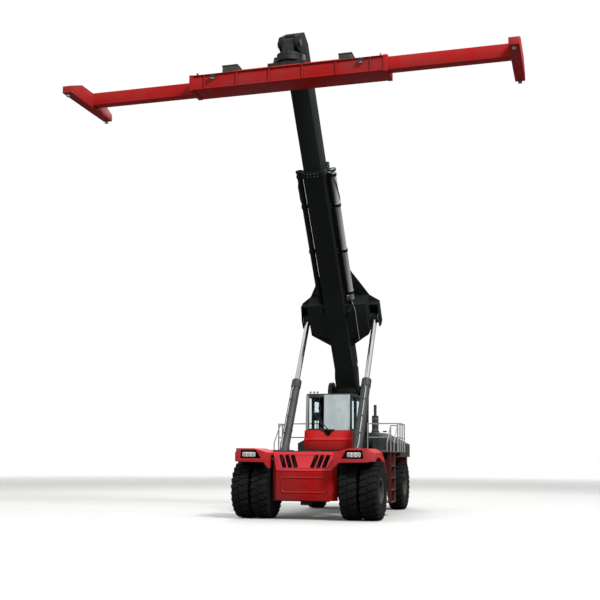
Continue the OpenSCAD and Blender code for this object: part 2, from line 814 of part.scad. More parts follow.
// Cab base: the red nose under the windscreen and the sill round the floor
floor_z = 2000;
base_z = deck_z + cab_mount_h;
module cab_base() {
    h = cab_w / 2 + 50;
    color("#cc2424") at_frame() difference() {
        intersection() {
            across(-h, h) polygon([
                [cab_front + 10, base_z], [cab_front - 70, 2240], [cab_front - 10, 2290],
                [cab_front, sill_z], [cab_front + 90, sill_z], [cab_front + 90, floor_z],
                [cab_rear, floor_z], [cab_rear, base_z]]);
            along(cab_front - 200, cab_rear) polygon([
                [-h + 35, base_z], [h - 35, base_z], [h, 2060], [h, sill_z], [-h, sill_z],
                [-h, 2060]]);
        }
        along(cab_front - 300, cab_front + 60) polygon([
            [-75, sill_z + eps], [-40, sill_z - 75], [40, sill_z - 75], [75, sill_z + eps]]);
    }
}

// Cab shell: one hollow box with its windows and door openings cut
screen_lean = 40;
mullion_x = -110;
door_y1 = cab_rear - 150;
door_y0 = door_y1 - door_w;
door_z0 = floor_z + 60;
door_z1 = roof_z - 110;
screen_z1 = roof_z - 80;
quarter_y0 = cab_front + 170;
quarter_y1 = door_y0 - 90;
module cab_outline() {
    inner_y = cab_front + 90 + seat_gap;
    polygon([[cab_front, sill_z + seat_gap], [cab_front + screen_lean, screen_z1],
             [cab_front + screen_lean + 60, roof_z], [cab_rear, roof_z - 20],
             [cab_rear, floor_z + seat_gap], [inner_y, floor_z + seat_gap],
             [inner_y, sill_z + seat_gap]]);
}

module cab_shell() {
    h = cab_w / 2;
    color("#3a3d3c") at_frame() both() hinge_lugs();
    color("#3a3d3c") at_frame() difference() {
        across(-h, h) cab_outline();
        across(-h + cab_t, h - cab_t) cab_inside();
        // windscreen, in two panes
        for (p = screen_panes()) box(p[0], p[1], cab_front - 50, cab_front + 200,
                                     sill_z + 40, roof_z - 110);
        // rear window
        box(-h + 120, h - 120, cab_rear - cab_t - eps, cab_rear + eps, 2500, roof_z - 130);
        // roof window
        box(-h + 160, h - 160, cab_front + 250, cab_front + 950,
            roof_z - cab_t - 40, roof_z + eps);
        both() {
            box(h - cab_t - eps, h + eps, door_y0, door_y1, door_z0, door_z1);
            box(h - cab_t - eps, h + eps, quarter_y0, quarter_y1, sill_z + 40, door_z1);
        }
    }
}

function screen_panes() = [[-cab_w / 2 + 75, mullion_x - 25], [mullion_x + 25, cab_w / 2 - 75]];

module cab_inside() {
    y0 = cab_front + cab_t;
    polygon([[cab_front + 60, sill_z + 10], [y0 + screen_lean, screen_z1 - cab_t / 2],
             [y0 + screen_lean + 40, roof_z - cab_t],
             [cab_rear - cab_t, roof_z - 20 - cab_t], [cab_rear - cab_t, floor_z + cab_t],
             [cab_front + 200, floor_z + cab_t], [cab_front + 200, sill_z - 200],
             [cab_front + 130, sill_z - 60]]);
}

// Panes sit in the middle of their openings
module pane_x(x, y0, y1, z0, z1) {
    box(x - glass_t / 2, x + glass_t / 2, y0 + seat_gap, y1 - seat_gap,
        z0 + seat_gap, z1 - seat_gap);
}

module cab_glass() {
    h = cab_w / 2;
    color("#7d8f96") at_frame() {
        for (p = screen_panes())
            across(p[0] + seat_gap, p[1] - seat_gap) polygon([
                for (q = [[0, sill_z + 40 + seat_gap], [0, roof_z - 110 - seat_gap],
                          [glass_t, roof_z - 110 - seat_gap],
                          [glass_t, sill_z + 40 + seat_gap]])
                    [cab_front + 24 + q[0] + screen_lean * (q[1] - sill_z)
                     / (screen_z1 - sill_z), q[1]]]);
        box(-h + 120 + seat_gap, h - 120 - seat_gap, cab_rear - 32, cab_rear - 32 + glass_t,
            2500 + seat_gap, roof_z - 130 - seat_gap);
        box(-h + 160 + seat_gap, h - 160 - seat_gap, cab_front + 250 + seat_gap,
            cab_front + 950 - seat_gap, roof_z - 45, roof_z - 45 + glass_t);
        both() pane_x(h - 28, quarter_y0, quarter_y1, sill_z + 40, door_z1);
    }
}

// Door hinges: the shell carries a pin between two lugs, the door turns on it
hinge_x = cab_w / 2 + 26;
hinge_y = door_y1 + 6;
hinge_h = 100;
hinge_zs = [door_z0 + 200, door_z1 - 300];
hinge_pin_r = 8;
module hinge_lugs() {
    for (z = hinge_zs) {
        translate([hinge_x, hinge_y, z - 25]) cylinder(h = hinge_h + 50, r = hinge_pin_r);
        for (dz = [-25, hinge_h + 5])
            box(cab_w / 2 - eps, hinge_x + 12, hinge_y - 8, hinge_y + 22, z + dz, z + dz + 20);
    }
}

// Door: a framed panel with its window, hinged at its rear edge
module door_panel() {
    h = cab_w / 2;
    g = move_gap;
    difference() {
        box(h - cab_t + 8, h - 3, door_y0 + g, door_y1 - g, door_z0 + g, door_z1 - g);
        box(h - cab_t, h + eps, door_y0 + 75, door_y1 - 75, door_z0 + 330, door_z1 - 75);
    }
    // handle
    box(h - 3 - eps, h + 25, door_y0 + 60, door_y0 + 180, door_z0 + 260, door_z0 + 290);
    // hinge knuckles, carried outside the skin
    for (z = hinge_zs) difference() {
        union() {
            translate([hinge_x, hinge_y, z]) cylinder(h = hinge_h, r = 20);
            box(h - 3 - eps, h + 10, door_y1 - 60, door_y1 - g, z + 10, z + hinge_h - 10);
            box(h + 5, hinge_x, door_y1 - 60, hinge_y, z + 10, z + hinge_h - 10);
        }
        translate([hinge_x, hinge_y, z - eps])
            cylinder(h = hinge_h + 2 * eps, r = hinge_pin_r + fit_gap);
    }
}

module door_glass() {
    pane_x(cab_w / 2 - 28, door_y0 + 75, door_y1 - 75, door_z0 + 330, door_z1 - 75);
}

module door_left() {
    color("#3a3d3c") at_frame() door_panel();
}

module door_right() {
    color("#3a3d3c") at_frame() mirror([1, 0, 0]) door_panel();
}

module door_glass_left() {
    color("#7d8f96") at_frame() door_glass();
}

module door_glass_right() {
    color("#7d8f96") at_frame() mirror([1, 0, 0]) door_glass();
}

// Cab interior: seat on its pedestal, arm consoles and the steering column
module cab_interior() {
    f = floor_z + cab_t + seat_gap;
    y = cab_front + 900;
    color("#2d2f30") at_frame() {
        translate([0, y, f]) cylinder(h = 260, r = 150);
        box(-240, 240, y - 260, y + 240, f + 250, f + 370);
        across(-230, 230) polygon([
            [y + 160, f + 330], [y + 330, f + 1020], [y + 420, f + 1010], [y + 290, f + 330]]);
        both() box(250, 360, y - 330, y + 180, f + 480, f + 540);
        both() box(230, 300, y - 60, y + 60, f + 260, f + 500);
        // steering column
        translate([0, cab_front + 335, f]) cylinder(h = 30, r = 75);
        bar([0, cab_front + 334, f + 20], [0, cab_front + 470, f + 700], 40);
        translate([0, cab_front + 480, f + 690]) rotate([12, 0, 0]) rotate_extrude()
            translate([170, 0]) circle(r = 16);
        bar([-170, cab_front + 480, f + 690], [170, cab_front + 480, f + 690], 12);
    }
}

// Boom pieces are drawn level, pointing along -Y from the pivot, then turned up
module boom_frame() {
    at_frame() translate([0, pivot_y, pivot_z]) rotate([-boom_angle, 0, 0]) children();
}

// Side profile of the outer section in (y, z), with y = -distance from the pivot
boom_bottom = boom_rise - boom_d / 2;
boom_top = boom_rise + boom_d / 2;
root_r = 260;
module boom_profile() {
    polygon([[-boom_len, boom_bottom], [-boom_len, boom_top], [-1000, boom_top],
             [150, root_r - 40], [root_r, 0], [120, boom_bottom - 80], [-300, boom_bottom]]);
    circle(r = root_r);
}

// Outline of a wing in (x, distance from the pivot): from the flank to the outer ear
ear_x0 = lift_x - eye_half_w - move_gap - 36;
ear_x1 = lift_x + eye_half_w + move_gap + 36;
ear_t = 36;
module wing_plan(reach) {
    polygon([[boom_w / 2 - 10, -1850], [boom_w / 2 - 10, -4450], [boom_w / 2 + 110, -4100],
             [ear_x0 + ear_t, -3120], [reach, -2900], [reach, -2180],
             [ear_x0 + ear_t, -2080]]);
}

module ear() {
    translate([-lift_reach, lift_rise]) circle(r = 205);
    polygon([[-2180, lift_rise + 235], [-2900, lift_rise + 235], [-2900, 520],
             [-2640, 410], [-2500, 345], [-2200, 345], [-2140, 560]]);
}

module boom_outer() {
    in_w = boom_w - 2 * boom_t;
    in_d = boom_d - 2 * boom_t;
    cap_z = lift_rise + 215;
    color("#1d2322") boom_frame() difference() {
        union() {
            across(-boom_w / 2, boom_w / 2) boom_profile();
            // mouth collar
            box(-boom_w / 2 - 30, boom_w / 2 + 30, -boom_len, -boom_len + 180,
                boom_bottom - 30, boom_top + 30);
            // pivot tube with its side plates
            bar_x(-upright_x0 + move_gap, upright_x0 - move_gap, pivot_pin_r + 75);
            both() {
                across(boom_w / 2 - 10, boom_w / 2 + 50) polygon([
                    [root_r - 60, -60], [root_r - 60, 120], [-700, 420], [-900, 100],
                    [-600, boom_bottom + 20], [0, boom_bottom - 60]]);
                // wing: closed box from the flank to the inner ear
                translate([0, 0, 100]) linear_extrude(cap_z - 100) intersection() {
                    wing_plan(ear_x0 + ear_t);
                    translate([0, -3130]) square([ear_x0 + 12, 1300]);
                }
                // top plate over both ears, with its long gusset
                translate([0, 0, cap_z]) linear_extrude(30) wing_plan(ear_x1);
                for (x = [ear_x0, ear_x1 - ear_t]) across(x, x + ear_t) ear();
                box(ear_x0, ear_x1, -2900, -2860, 520, cap_z + 10);
                // the outer end of the cylinder's pin, with its boss
                bar_x(ear_x1 - ear_t, ear_x1 + 34, pin_r, -lift_reach, lift_rise);
                bar_x(ear_x1, ear_x1 + 24, pin_r + 50, -lift_reach, lift_rise);
            }
        }
        box(-in_w / 2, in_w / 2, -boom_len - eps, -480, boom_rise - in_d / 2,
            boom_rise + in_d / 2);
        bar_x(-700, 700, pivot_pin_r + fit_gap);
    }
}

// Inner section: a box in the outer one, with pads at its tail and a goose-necked head
in_half_w = boom_w / 2 - boom_t - pad_gap;
in_half_d = boom_d / 2 - boom_t - pad_gap;
inner_t = 20;
head_back = 620;
head_z = boom_rise - head_drop;
fork_x0 = 165;
module boom_inner() {
    tail = head_reach - head_back - inner_len;
    top = boom_rise + in_half_d;
    bottom = boom_rise - in_half_d;
    nose = head_reach - head_back;
    color("#22302c") boom_frame() difference() {
        union() {
            box(-in_half_w, in_half_w, -nose, -tail, bottom, top);
            // pads at the tail, running in the outer section
            box(-in_half_w - pad_gap + fit_gap, in_half_w + pad_gap - fit_gap, -tail - 160,
                -tail, bottom - pad_gap + fit_gap, top + pad_gap - fit_gap);
            across(-in_half_w, in_half_w) goose_neck();
        }
        box(-in_half_w + inner_t, in_half_w - inner_t, -nose + 200, -tail + eps,
            bottom + inner_t, top - inner_t);
        // room for the yoke between the fork plates
        box(-fork_x0, fork_x0, -head_reach - 400, -head_reach + 330, head_z - 300,
            head_z + 330);
    }
    color("#22302c") boom_frame()
        bar_x(-in_half_w - 30, in_half_w + 30, 70, -head_reach, head_z);
}

module goose_neck() {
    top = boom_rise + in_half_d;
    bottom = boom_rise - in_half_d;
    polygon([[-head_reach + head_back, top], [-head_reach + 250, top],
             [-head_reach - 120, top - 230], [-head_reach - 200, head_z],
             [-head_reach + 200, head_z], [-head_reach + head_back - 100, bottom],
             [-head_reach + head_back, bottom]]);
    translate([-head_reach, head_z]) circle(r = 200);
}

// Pipes along both flanks from the wings to the mouth, on clamps, with elbows
pipe_x = 500;
pipe_r = 72;
module boom_pipes() {
    color("#6f7675") boom_frame() both() {
        bar([pipe_x, -3250, boom_rise], [pipe_x, -boom_len + 100, boom_rise], pipe_r);
        for (s = [3500, 4930, 6400, 7350]) {
            box(boom_w / 2 + seat_gap, pipe_x, -s - 40, -s + 40, boom_rise - 40,
                boom_rise + 40);
            translate([pipe_x, -s + 45, boom_rise]) rotate([90, 0, 0])
                cylinder(h = 90, r = pipe_r + 16);
        }
    }
}

// Lift cylinders, drawn along the line between their two pins
lift_dir = lift_top - lift_base;
lift_len = norm(lift_dir);
lift_tilt = atan2(-lift_dir[0], lift_dir[1]);
module lift_frame(side) {
    at_frame() translate([side * lift_x, lift_base_y, lift_base_z]) rotate([lift_tilt, 0, 0])
        children();
}

bore_z = 165;
gland_h = 150;
piston_h = 90;
module lift_barrel(side) {
    bore = lift_rod_r + 26;
    color("#55585a") lift_frame(side) difference() {
        union() {
            bar_x(-base_eye_half_w, base_eye_half_w, 150);
            translate([0, 0, 60]) cylinder(h = barrel_len - 60, r = barrel_r);
            translate([0, 0, barrel_len - 200]) cylinder(h = 200, r = barrel_r + 14);
            translate([0, 0, 100]) cylinder(h = 120, r = barrel_r + 12);
        }
        bar_x(-base_eye_half_w - eps, base_eye_half_w + eps, pin_r + fit_gap);
        translate([0, 0, bore_z]) cylinder(h = barrel_len - bore_z - gland_h, r = bore);
        translate([0, 0, bore_z + 10]) cylinder(h = barrel_len, r = lift_rod_r + fit_gap);
    }
}

module lift_rod(side) {
    tail = bore_z + lift_travel + 35;
    pin_half_l = eye_half_w + move_gap - seat_gap;
    color("#d5d8d9") lift_frame(side) {
        bar_x(-eye_half_w, eye_half_w, 165, 0, lift_len);
        bar_x(-pin_half_l, pin_half_l, pin_r, 0, lift_len);
        translate([0, 0, tail]) cylinder(h = lift_len - tail, r = lift_rod_r);
        translate([0, 0, tail]) cylinder(h = piston_h, r = lift_rod_r + 26 - fit_gap);
    }
}

module lift_barrel_left() {
    lift_barrel(left);
}

module lift_barrel_right() {
    lift_barrel(right);
}

module lift_rod_left() {
    lift_rod(left);
}

module lift_rod_right() {
    lift_rod(right);
}

// Everything below hangs level under the head pin
module head_frame() {
    at_frame() translate([0, head[0], head[1]]) children();
}

yoke_z = -400;
ring_z = yoke_z - move_gap;
frame_top = -750;
module head_yoke() {
    color("#2b3331") head_frame() difference() {
        union() {
            bar_x(-fork_x0 + move_gap, fork_x0 - move_gap, 150);
            across(-fork_x0 + move_gap, fork_x0 - move_gap) polygon([
                [-150, 0], [150, 0], [200, yoke_z + 60], [-200, yoke_z + 60]]);
            translate([0, 0, yoke_z]) cylinder(h = 70, r = slew_r);
            translate([0, 0, yoke_z - 180]) cylinder(h = 200, r = 110);
        }
        bar_x(-fork_x0, fork_x0, 70 + fit_gap);
    }
}

// Slewing ring with its motor, and the carriage that the spreader shifts on
module rotator() {
    color("#3d4442") head_frame() difference() {
        union() {
            translate([0, 0, ring_z - 130]) cylinder(h = 130, r = slew_r);
            translate([0, 0, ring_z - 220]) cylinder(h = 100, r = slew_r - 60);
            box(-520, 520, -300, 300, frame_top + 40, ring_z - 200);
            for (x = [-440, 440]) translate([x, 0, 0]) along(-345, 345) polygon([
                [-70, frame_top + 40], [70, frame_top + 40], [70, frame_top + 90],
                [-70, frame_top + 90]]);
        }
        translate([0, 0, yoke_z - 200]) cylinder(h = 200, r = 110 + fit_gap);
    }
}

// Main frame: two hollow beams side by side, joined by plates, with shift rails on top
module spreader_frame() {
    y1 = main_beam_w + seat_gap;
    color("#a8201f") head_frame() difference() {
        union() {
            box(-main_half_l, main_half_l, -y1, y1, frame_top - main_beam_h, frame_top);
            for (y = [-y1, y1 - 60])
                box(-1500, 1500, y, y + 60, frame_top - eps, frame_top + 40 - seat_gap);
            for (x = [-main_half_l, main_half_l - 120])
                box(x, x + 120, -y1 - 25, y1 + 25, frame_top - main_beam_h - 25,
                    frame_top + 25);
        }
        for (y = [-1, 1]) translate([0, y * (main_beam_w / 2 + seat_gap), 0])
            box(-main_half_l - eps, main_half_l + eps,
                -main_beam_w / 2 + main_beam_t, main_beam_w / 2 - main_beam_t,
                frame_top - main_beam_h + main_beam_t, frame_top - main_beam_t);
    }
}

// Telescopic beam: runs in its own side of the main frame and ends in the cross beam
lock_x = lock_span / 2;
tele_gap = 12;
end_w = 260;
module spreader_beam(side) {
    w = main_beam_w / 2 - main_beam_t - tele_gap;
    z0 = frame_top - main_beam_h + main_beam_t + tele_gap;
    z1 = frame_top - main_beam_t - tele_gap;
    y = -side * (main_beam_w / 2 + seat_gap);
    tail = lock_x - 130 - 5000;
    difference() {
        union() {
            box(tail, lock_x, y - w, y + w, z0, z1);
            box(tail, tail + 220, y - w - tele_gap + fit_gap, y + w + tele_gap - fit_gap,
                z0 - tele_gap + fit_gap, z1 + tele_gap - fit_gap);
            // cross beam, deeper in the middle
            across(lock_x - end_w / 2, lock_x + end_w / 2) polygon([
                [-end_beam_half_l, -spreader_drop], [end_beam_half_l, -spreader_drop],
                [end_beam_half_l, -spreader_drop + 190], [620, z1], [-620, z1],
                [-end_beam_half_l, -spreader_drop + 190]]);
        }
        box(tail - eps, lock_x - 300, y - w + 14, y + w - 14, z0 + 14, z1 - 14);
        for (s = [-1, 1]) translate([lock_x, s * lock_gauge / 2, -spreader_drop - eps]) {
            cylinder(h = 260, r = 32 + fit_gap);
            translate([0, 0, 91]) cylinder(h = 260, r = 55);
        }
    }
}

module spreader_beam_left() {
    color("#a8201f") head_frame() spreader_beam(left);
}

module spreader_beam_right() {
    color("#a8201f") head_frame() mirror([1, 0, 0]) spreader_beam(right);
}

// Twistlock: a shank with a collar inside the cross beam and an oblong head below
module twistlock(side, end) {
    color("#8d9294") head_frame()
        translate([side * lock_x, end * lock_gauge / 2, -spreader_drop]) {
        translate([0, 0, -40]) cylinder(h = 140, r = 32);
        translate([0, 0, 92]) cylinder(h = 30, r = 50);
        translate([0, 0, -85]) linear_extrude(50) intersection() {
            square([104, 60], center = true);
            circle(r = 52);
        }
    }
}

module twistlock_front_left() {
    twistlock(left, -1);
}

module twistlock_rear_left() {
    twistlock(left, 1);
}

module twistlock_front_right() {
    twistlock(right, -1);
}

module twistlock_rear_right() {
    twistlock(right, 1);
}

chassis_frame();
drive_axle();
front_hood();
mudguards();
lamps();
steer_axle();
counterweight();
engine_block();
engine_cover();
side_tanks();
platforms();
handrails();
exhaust_and_filter();
cab_base();
cab_shell();
cab_glass();
cab_interior();
door_left();
door_right();
door_glass_left();
door_glass_right();
drive_tyres_left();
drive_tyres_right();
drive_rims_left();
drive_rims_right();
knuckle_left();
knuckle_right();
steer_tyre_left();
steer_tyre_right();
steer_rim_left();
steer_rim_right();
steer_rod();
steer_links();
boom_outer();
boom_inner();
boom_pipes();
lift_barrel_left();
lift_barrel_right();
lift_rod_left();
lift_rod_right();
head_yoke();
rotator();
spreader_frame();
spreader_beam_left();
spreader_beam_right();
twistlock_front_left();
twistlock_rear_left();
twistlock_front_right();
twistlock_rear_right();
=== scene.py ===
"""Container reach stacker: finishes, dressing pieces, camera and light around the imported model."""
import json
import math

import bmesh
import bpy
from mathutils import Matrix, Vector


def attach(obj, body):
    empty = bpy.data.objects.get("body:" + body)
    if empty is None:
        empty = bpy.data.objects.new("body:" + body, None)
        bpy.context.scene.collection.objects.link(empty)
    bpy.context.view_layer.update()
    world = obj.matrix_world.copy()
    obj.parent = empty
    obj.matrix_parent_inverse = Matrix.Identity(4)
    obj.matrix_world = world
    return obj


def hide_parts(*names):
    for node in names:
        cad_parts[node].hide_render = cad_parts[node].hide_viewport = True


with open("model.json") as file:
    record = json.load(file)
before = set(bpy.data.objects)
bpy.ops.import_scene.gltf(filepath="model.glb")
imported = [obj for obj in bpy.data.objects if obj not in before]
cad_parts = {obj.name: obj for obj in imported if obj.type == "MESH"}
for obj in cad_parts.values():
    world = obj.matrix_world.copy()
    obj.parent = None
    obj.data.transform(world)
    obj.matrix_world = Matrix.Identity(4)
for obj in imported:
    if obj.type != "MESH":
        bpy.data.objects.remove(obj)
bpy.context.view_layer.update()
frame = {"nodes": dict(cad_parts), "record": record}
nodes, record = frame["nodes"], frame["record"]
SLOT_OF = {entry["node"]: entry["material_slot"] for entry in record["subparts"]}

# Places, in metres
# The machine is laid out from its drive axle; the model's origin lies further back.
ORIGIN_Y = 2.01173
LEFT, RIGHT = 1, -1
SIDES = ((LEFT, "left"), (RIGHT, "right"))
BOOM_LIFT, PIVOT_Y, PIVOT_Z = 54, 4.71, 3.86
LIFT_X = 1.1
TYRE_R, TYRE_W, TWIN, RIM_R = 0.81, 0.5, 0.56, 0.318
DRIVE_X, STEER_X, STEER_Y = 1.534, 1.404, 6.0
DECK_TOP, COVER_TOP = 1.89, 2.53
VENT_SHIFT = 0.1
FACING = {LEFT: Matrix.Identity(4), RIGHT: Matrix.Rotation(math.pi, 4, "Z")}
SIDEWAYS = {side: Matrix.Rotation(side * math.pi / 2, 4, "Y") for side in (LEFT, RIGHT)}
DOWN = Matrix.Rotation(math.pi, 4, "X")
shift = Matrix.Translation


def tilted(x, y, z, degrees):
    """A place turned about its own X axis."""
    return shift((x, y, z)) @ Matrix.Rotation(math.radians(degrees), 4, "X")


def wheel_place(side, x, y):
    """A wheel's middle, with local +X outwards."""
    return shift((side * x, y - ORIGIN_Y, TYRE_R)) @ FACING[side]


# On the boom, local -Y runs out along it and +Z stands square on it.
# On a lift cylinder, local +Z runs from the pin at its foot to the one in the boom's wing.
MACHINE = shift((0, -ORIGIN_Y, 0))
BOOM = tilted(0, PIVOT_Y - ORIGIN_Y, PIVOT_Z, -BOOM_LIFT)
HEAD_PIN, LIFT_TOP = Vector((0, -11.3, -0.34)), Vector((0, -2.42, 0.534))
LIFT_FOOT = Vector((0, 0.93 - ORIGIN_Y, 1.55))
LIFT = BOOM @ LIFT_TOP - LIFT_FOOT
HEAD = shift(BOOM @ HEAD_PIN)
PLACES = {"boom": BOOM, "boom_ext": BOOM, "spreader": HEAD, "rotator": HEAD}
for side, name in SIDES:
    foot = tilted(side * LIFT_X, *LIFT_FOOT.yz, -math.degrees(math.atan2(LIFT.y, LIFT.z)))
    PLACES["lift_barrel_" + name] = PLACES["lift_rod_" + name] = foot


# Shapes
def along(pair, value, axis):
    """A point with the value on its axis and the pair on the other two."""
    at = "xyz".index(axis)
    return (*pair[:at], value, *pair[at:])


def band(n, a, b):
    """Faces between two closed rows of n points that start at a and at b."""
    return [[a + i, a + (i + 1) % n, b + (i + 1) % n, b + i] for i in range(n)]


class Shape:
    """Points and faces of one piece, gathered from plain forms."""

    def __init__(self):
        self.points, self.faces = [], []

    def add(self, points, faces, place=None):
        n = len(self.points)
        self.points += [tuple(place @ Vector(p)) if place else tuple(p) for p in points]
        self.faces += [[i + n for i in f] for f in faces]
        return self

    def block(self, x0, x1, y0, y1, z0, z1, place=None):
        return self.prism([(x0, y0), (x1, y0), (x1, y1), (x0, y1)], z0, z1, "z", place)

    def prism(self, outline, a, b, across="x", place=None):
        """An outline made thick from a to b: (y, z) across x, (x, z) across y, (x, y) across z."""
        n = len(outline)
        points = [along(p, w, across) for w in (a, b) for p in outline]
        return self.add(points, [range(n), range(n, 2 * n), *band(n, 0, n)], place)

    def border(self, outer, inner, a, b, place=None):
        """A flat (x, z) frame between two outlines of as many points, thick from y a to b."""
        n = len(outer)
        points = [along(p, w, "y") for w in (a, b) for line in (outer, inner) for p in line]
        rows = ((0, n), (2 * n, 3 * n), (0, 2 * n), (n, 3 * n))
        return self.add(points, [f for p, q in rows for f in band(n, p, q)], place)

    def lathe(self, profile, axis="x", steps=48, place=None):
        """(radius, distance) pairs turned about an axis; the profile closes itself off the axis."""
        points, faces, n = [], [], len(profile)
        sides = n if profile[0][0] else n - 1
        for k in range(steps):
            c, s = math.cos(math.tau * k / steps), math.sin(math.tau * k / steps)
            points += [along((r * c, r * s), d, axis) for r, d in profile]
            faces += band(n, k * n, (k + 1) % steps * n)[:sides]
        return self.add(points, faces, place)

    def ring(self, r0, r1, a, b, axis, steps, place=None):
        """A square-edged ring, or a disc where its inner radius is nothing."""
        return self.lathe([(r0, a), (r1, a), (r1, b), (r0, b)], axis, steps, place)

    def rod(self, p, q, r, steps=16, place=None, r2=None):
        p, q = Vector(p), Vector(q)
        z = (q - p).normalized()
        x = z.orthogonal().normalized()
        y = z.cross(x)
        points = []
        for centre, radius in ((p, r), (q, r if r2 is None else r2)):
            for k in range(steps):
                a = math.tau * k / steps
                points.append(centre + (x * math.cos(a) + y * math.sin(a)) * radius)
        ends = [range(steps), range(steps, 2 * steps)]
        return self.add(points, [*ends, *band(steps, 0, steps)], place)

    def mirror(self):
        """The same again on the machine's other side."""
        return self.add([(-x, y, z) for x, y, z in self.points], self.faces)


def mesh_from(bm, name):
    mesh = bpy.data.meshes.new(name)
    bm.to_mesh(mesh)
    bm.free()
    return mesh


def round_edges(bm, radius, steps, angle=0.5):
    sharp = [e for e in bm.edges if len(e.link_faces) == 2 and e.calc_face_angle(0) > angle]
    bmesh.ops.bevel(bm, geom=sharp, offset=radius, segments=steps, profile=0.5, affect="EDGES",
        clamp_overlap=True)


def mesh_of(shape, place=None, bevel=0.0, steps=1, name="part", merge=True):
    """A shape's mesh, rounded and in place."""
    bm = bmesh.new()
    points = [bm.verts.new(p) for p in shape.points]
    for face in shape.faces:
        bm.faces.new([points[i] for i in face])
    if merge:
        bmesh.ops.remove_doubles(bm, verts=bm.verts, dist=1e-5)
    bmesh.ops.recalc_face_normals(bm, faces=bm.faces)
    if bevel:
        round_edges(bm, bevel, steps)
    if place is not None:
        bm.transform(place)
    return mesh_from(bm, name)


def linked(name, data):
    obj = bpy.data.objects.new(name, data)
    bpy.context.collection.objects.link(obj)
    return obj


def evaluated(obj):
    """The mesh that an object and its modifiers make; the object itself goes."""
    graph = bpy.context.evaluated_depsgraph_get()
    mesh = bpy.data.meshes.new_from_object(obj.evaluated_get(graph))
    bpy.data.objects.remove(obj)
    return mesh


def place_piece(name, mesh, finish, body="chassis", replaces=(), smooth=35):
    """One finished piece, riding on its body."""
    obj = linked(name, mesh)
    slot, coat = FINISH[finish]
    mesh.materials.clear()
    mesh.materials.append(coat)
    mesh.shade_smooth()
    mesh.set_sharp_from_angle(angle=math.radians(smooth))
    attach(obj, body)
    if replaces:
        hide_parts(*replaces)
    return obj


def piece(name, shape, finish, bevel=0.0, body="chassis", place=None, replaces=()):
    """A piece from a shape, laid out in its body's own place."""
    place = place or PLACES.get(body, MACHINE)
    return place_piece(name, mesh_of(shape, place, bevel, 2, name), finish, body, replaces)


def hose(name, points, radius, finish, body="chassis"):
    """A pipe or hose through the points, smooth where it bends."""
    curve = bpy.data.curves.new(name, "CURVE")
    curve.dimensions = "3D"
    curve.bevel_depth = radius
    curve.bevel_resolution = 3
    curve.resolution_u = 8
    curve.use_fill_caps = True
    knots = curve.splines.new("BEZIER").bezier_points
    knots.add(len(points) - 1)
    for knot, p in zip(knots, points):
        knot.co = p
        knot.handle_left_type = knot.handle_right_type = "AUTO"
    mesh = evaluated(linked(name, curve))
    bpy.data.curves.remove(curve)
    mesh.transform(PLACES.get(body, MACHINE))
    return place_piece(name, mesh, finish, body, smooth=60)


def joined(name, meshes, place=None):
    bm = bmesh.new()
    for m in meshes:
        bm.from_mesh(m)
    if place is not None:
        bm.transform(place)
    return mesh_from(bm, name)


# Node trees
def node_maker(tree):
    """A function that adds a node, with its settings, and links or sets its inputs."""
    def node(kind, _inputs=None, **settings):
        n = tree.nodes.new(kind if kind.startswith("Geometry") else "ShaderNode" + kind)
        for k, v in settings.items():
            setattr(n, k, v)
        for k, v in (_inputs or {}).items():
            if isinstance(v, bpy.types.NodeSocket):
                tree.links.new(v, n.inputs[k])
            else:
                n.inputs[k].default_value = v
        return n
    return node


def noise(node, vector, scale, detail=4.0, rough=0.55):
    return node("TexNoise", {"Vector": vector, "Scale": scale, "Detail": detail,
        "Roughness": rough}).outputs[0]


def spread(node, value, low, high):
    return node("MapRange", {"Value": value, "From Min": low, "From Max": high},
        clamp=True).outputs[0]


def mixed(node, share, a, b):
    return node("Mix", {0: share, 6: a, 7: b}, data_type="RGBA").outputs[2]


def maths(node, kind, a, b=0.0, c=0.0):
    return node("Math", {0: a, 1: b, 2: c}, operation=kind).outputs[0]


def times(node, a, b):
    return maths(node, "MULTIPLY", a, b)


def scaled(node, a, by, plus):
    return maths(node, "MULTIPLY_ADD", a, by, plus)


def split(node, vector):
    return node("SeparateXYZ", {0: vector}).outputs


def group(kind, name, inputs, outputs):
    """An empty node group: itself, what it is given, what it gives, and its node maker."""
    tree = bpy.data.node_groups.new(name, kind + "NodeTree")
    for label, sort, value in inputs:
        socket = tree.interface.new_socket(label, in_out="INPUT", socket_type="NodeSocket" + sort)
        if value is not None:
            socket.default_value = value
    for label, sort in outputs:
        tree.interface.new_socket(label, in_out="OUTPUT", socket_type="NodeSocket" + sort)
    start, end = tree.nodes.new("NodeGroupInput"), tree.nodes.new("NodeGroupOutput")
    return tree, start.outputs, end.inputs, node_maker(tree)


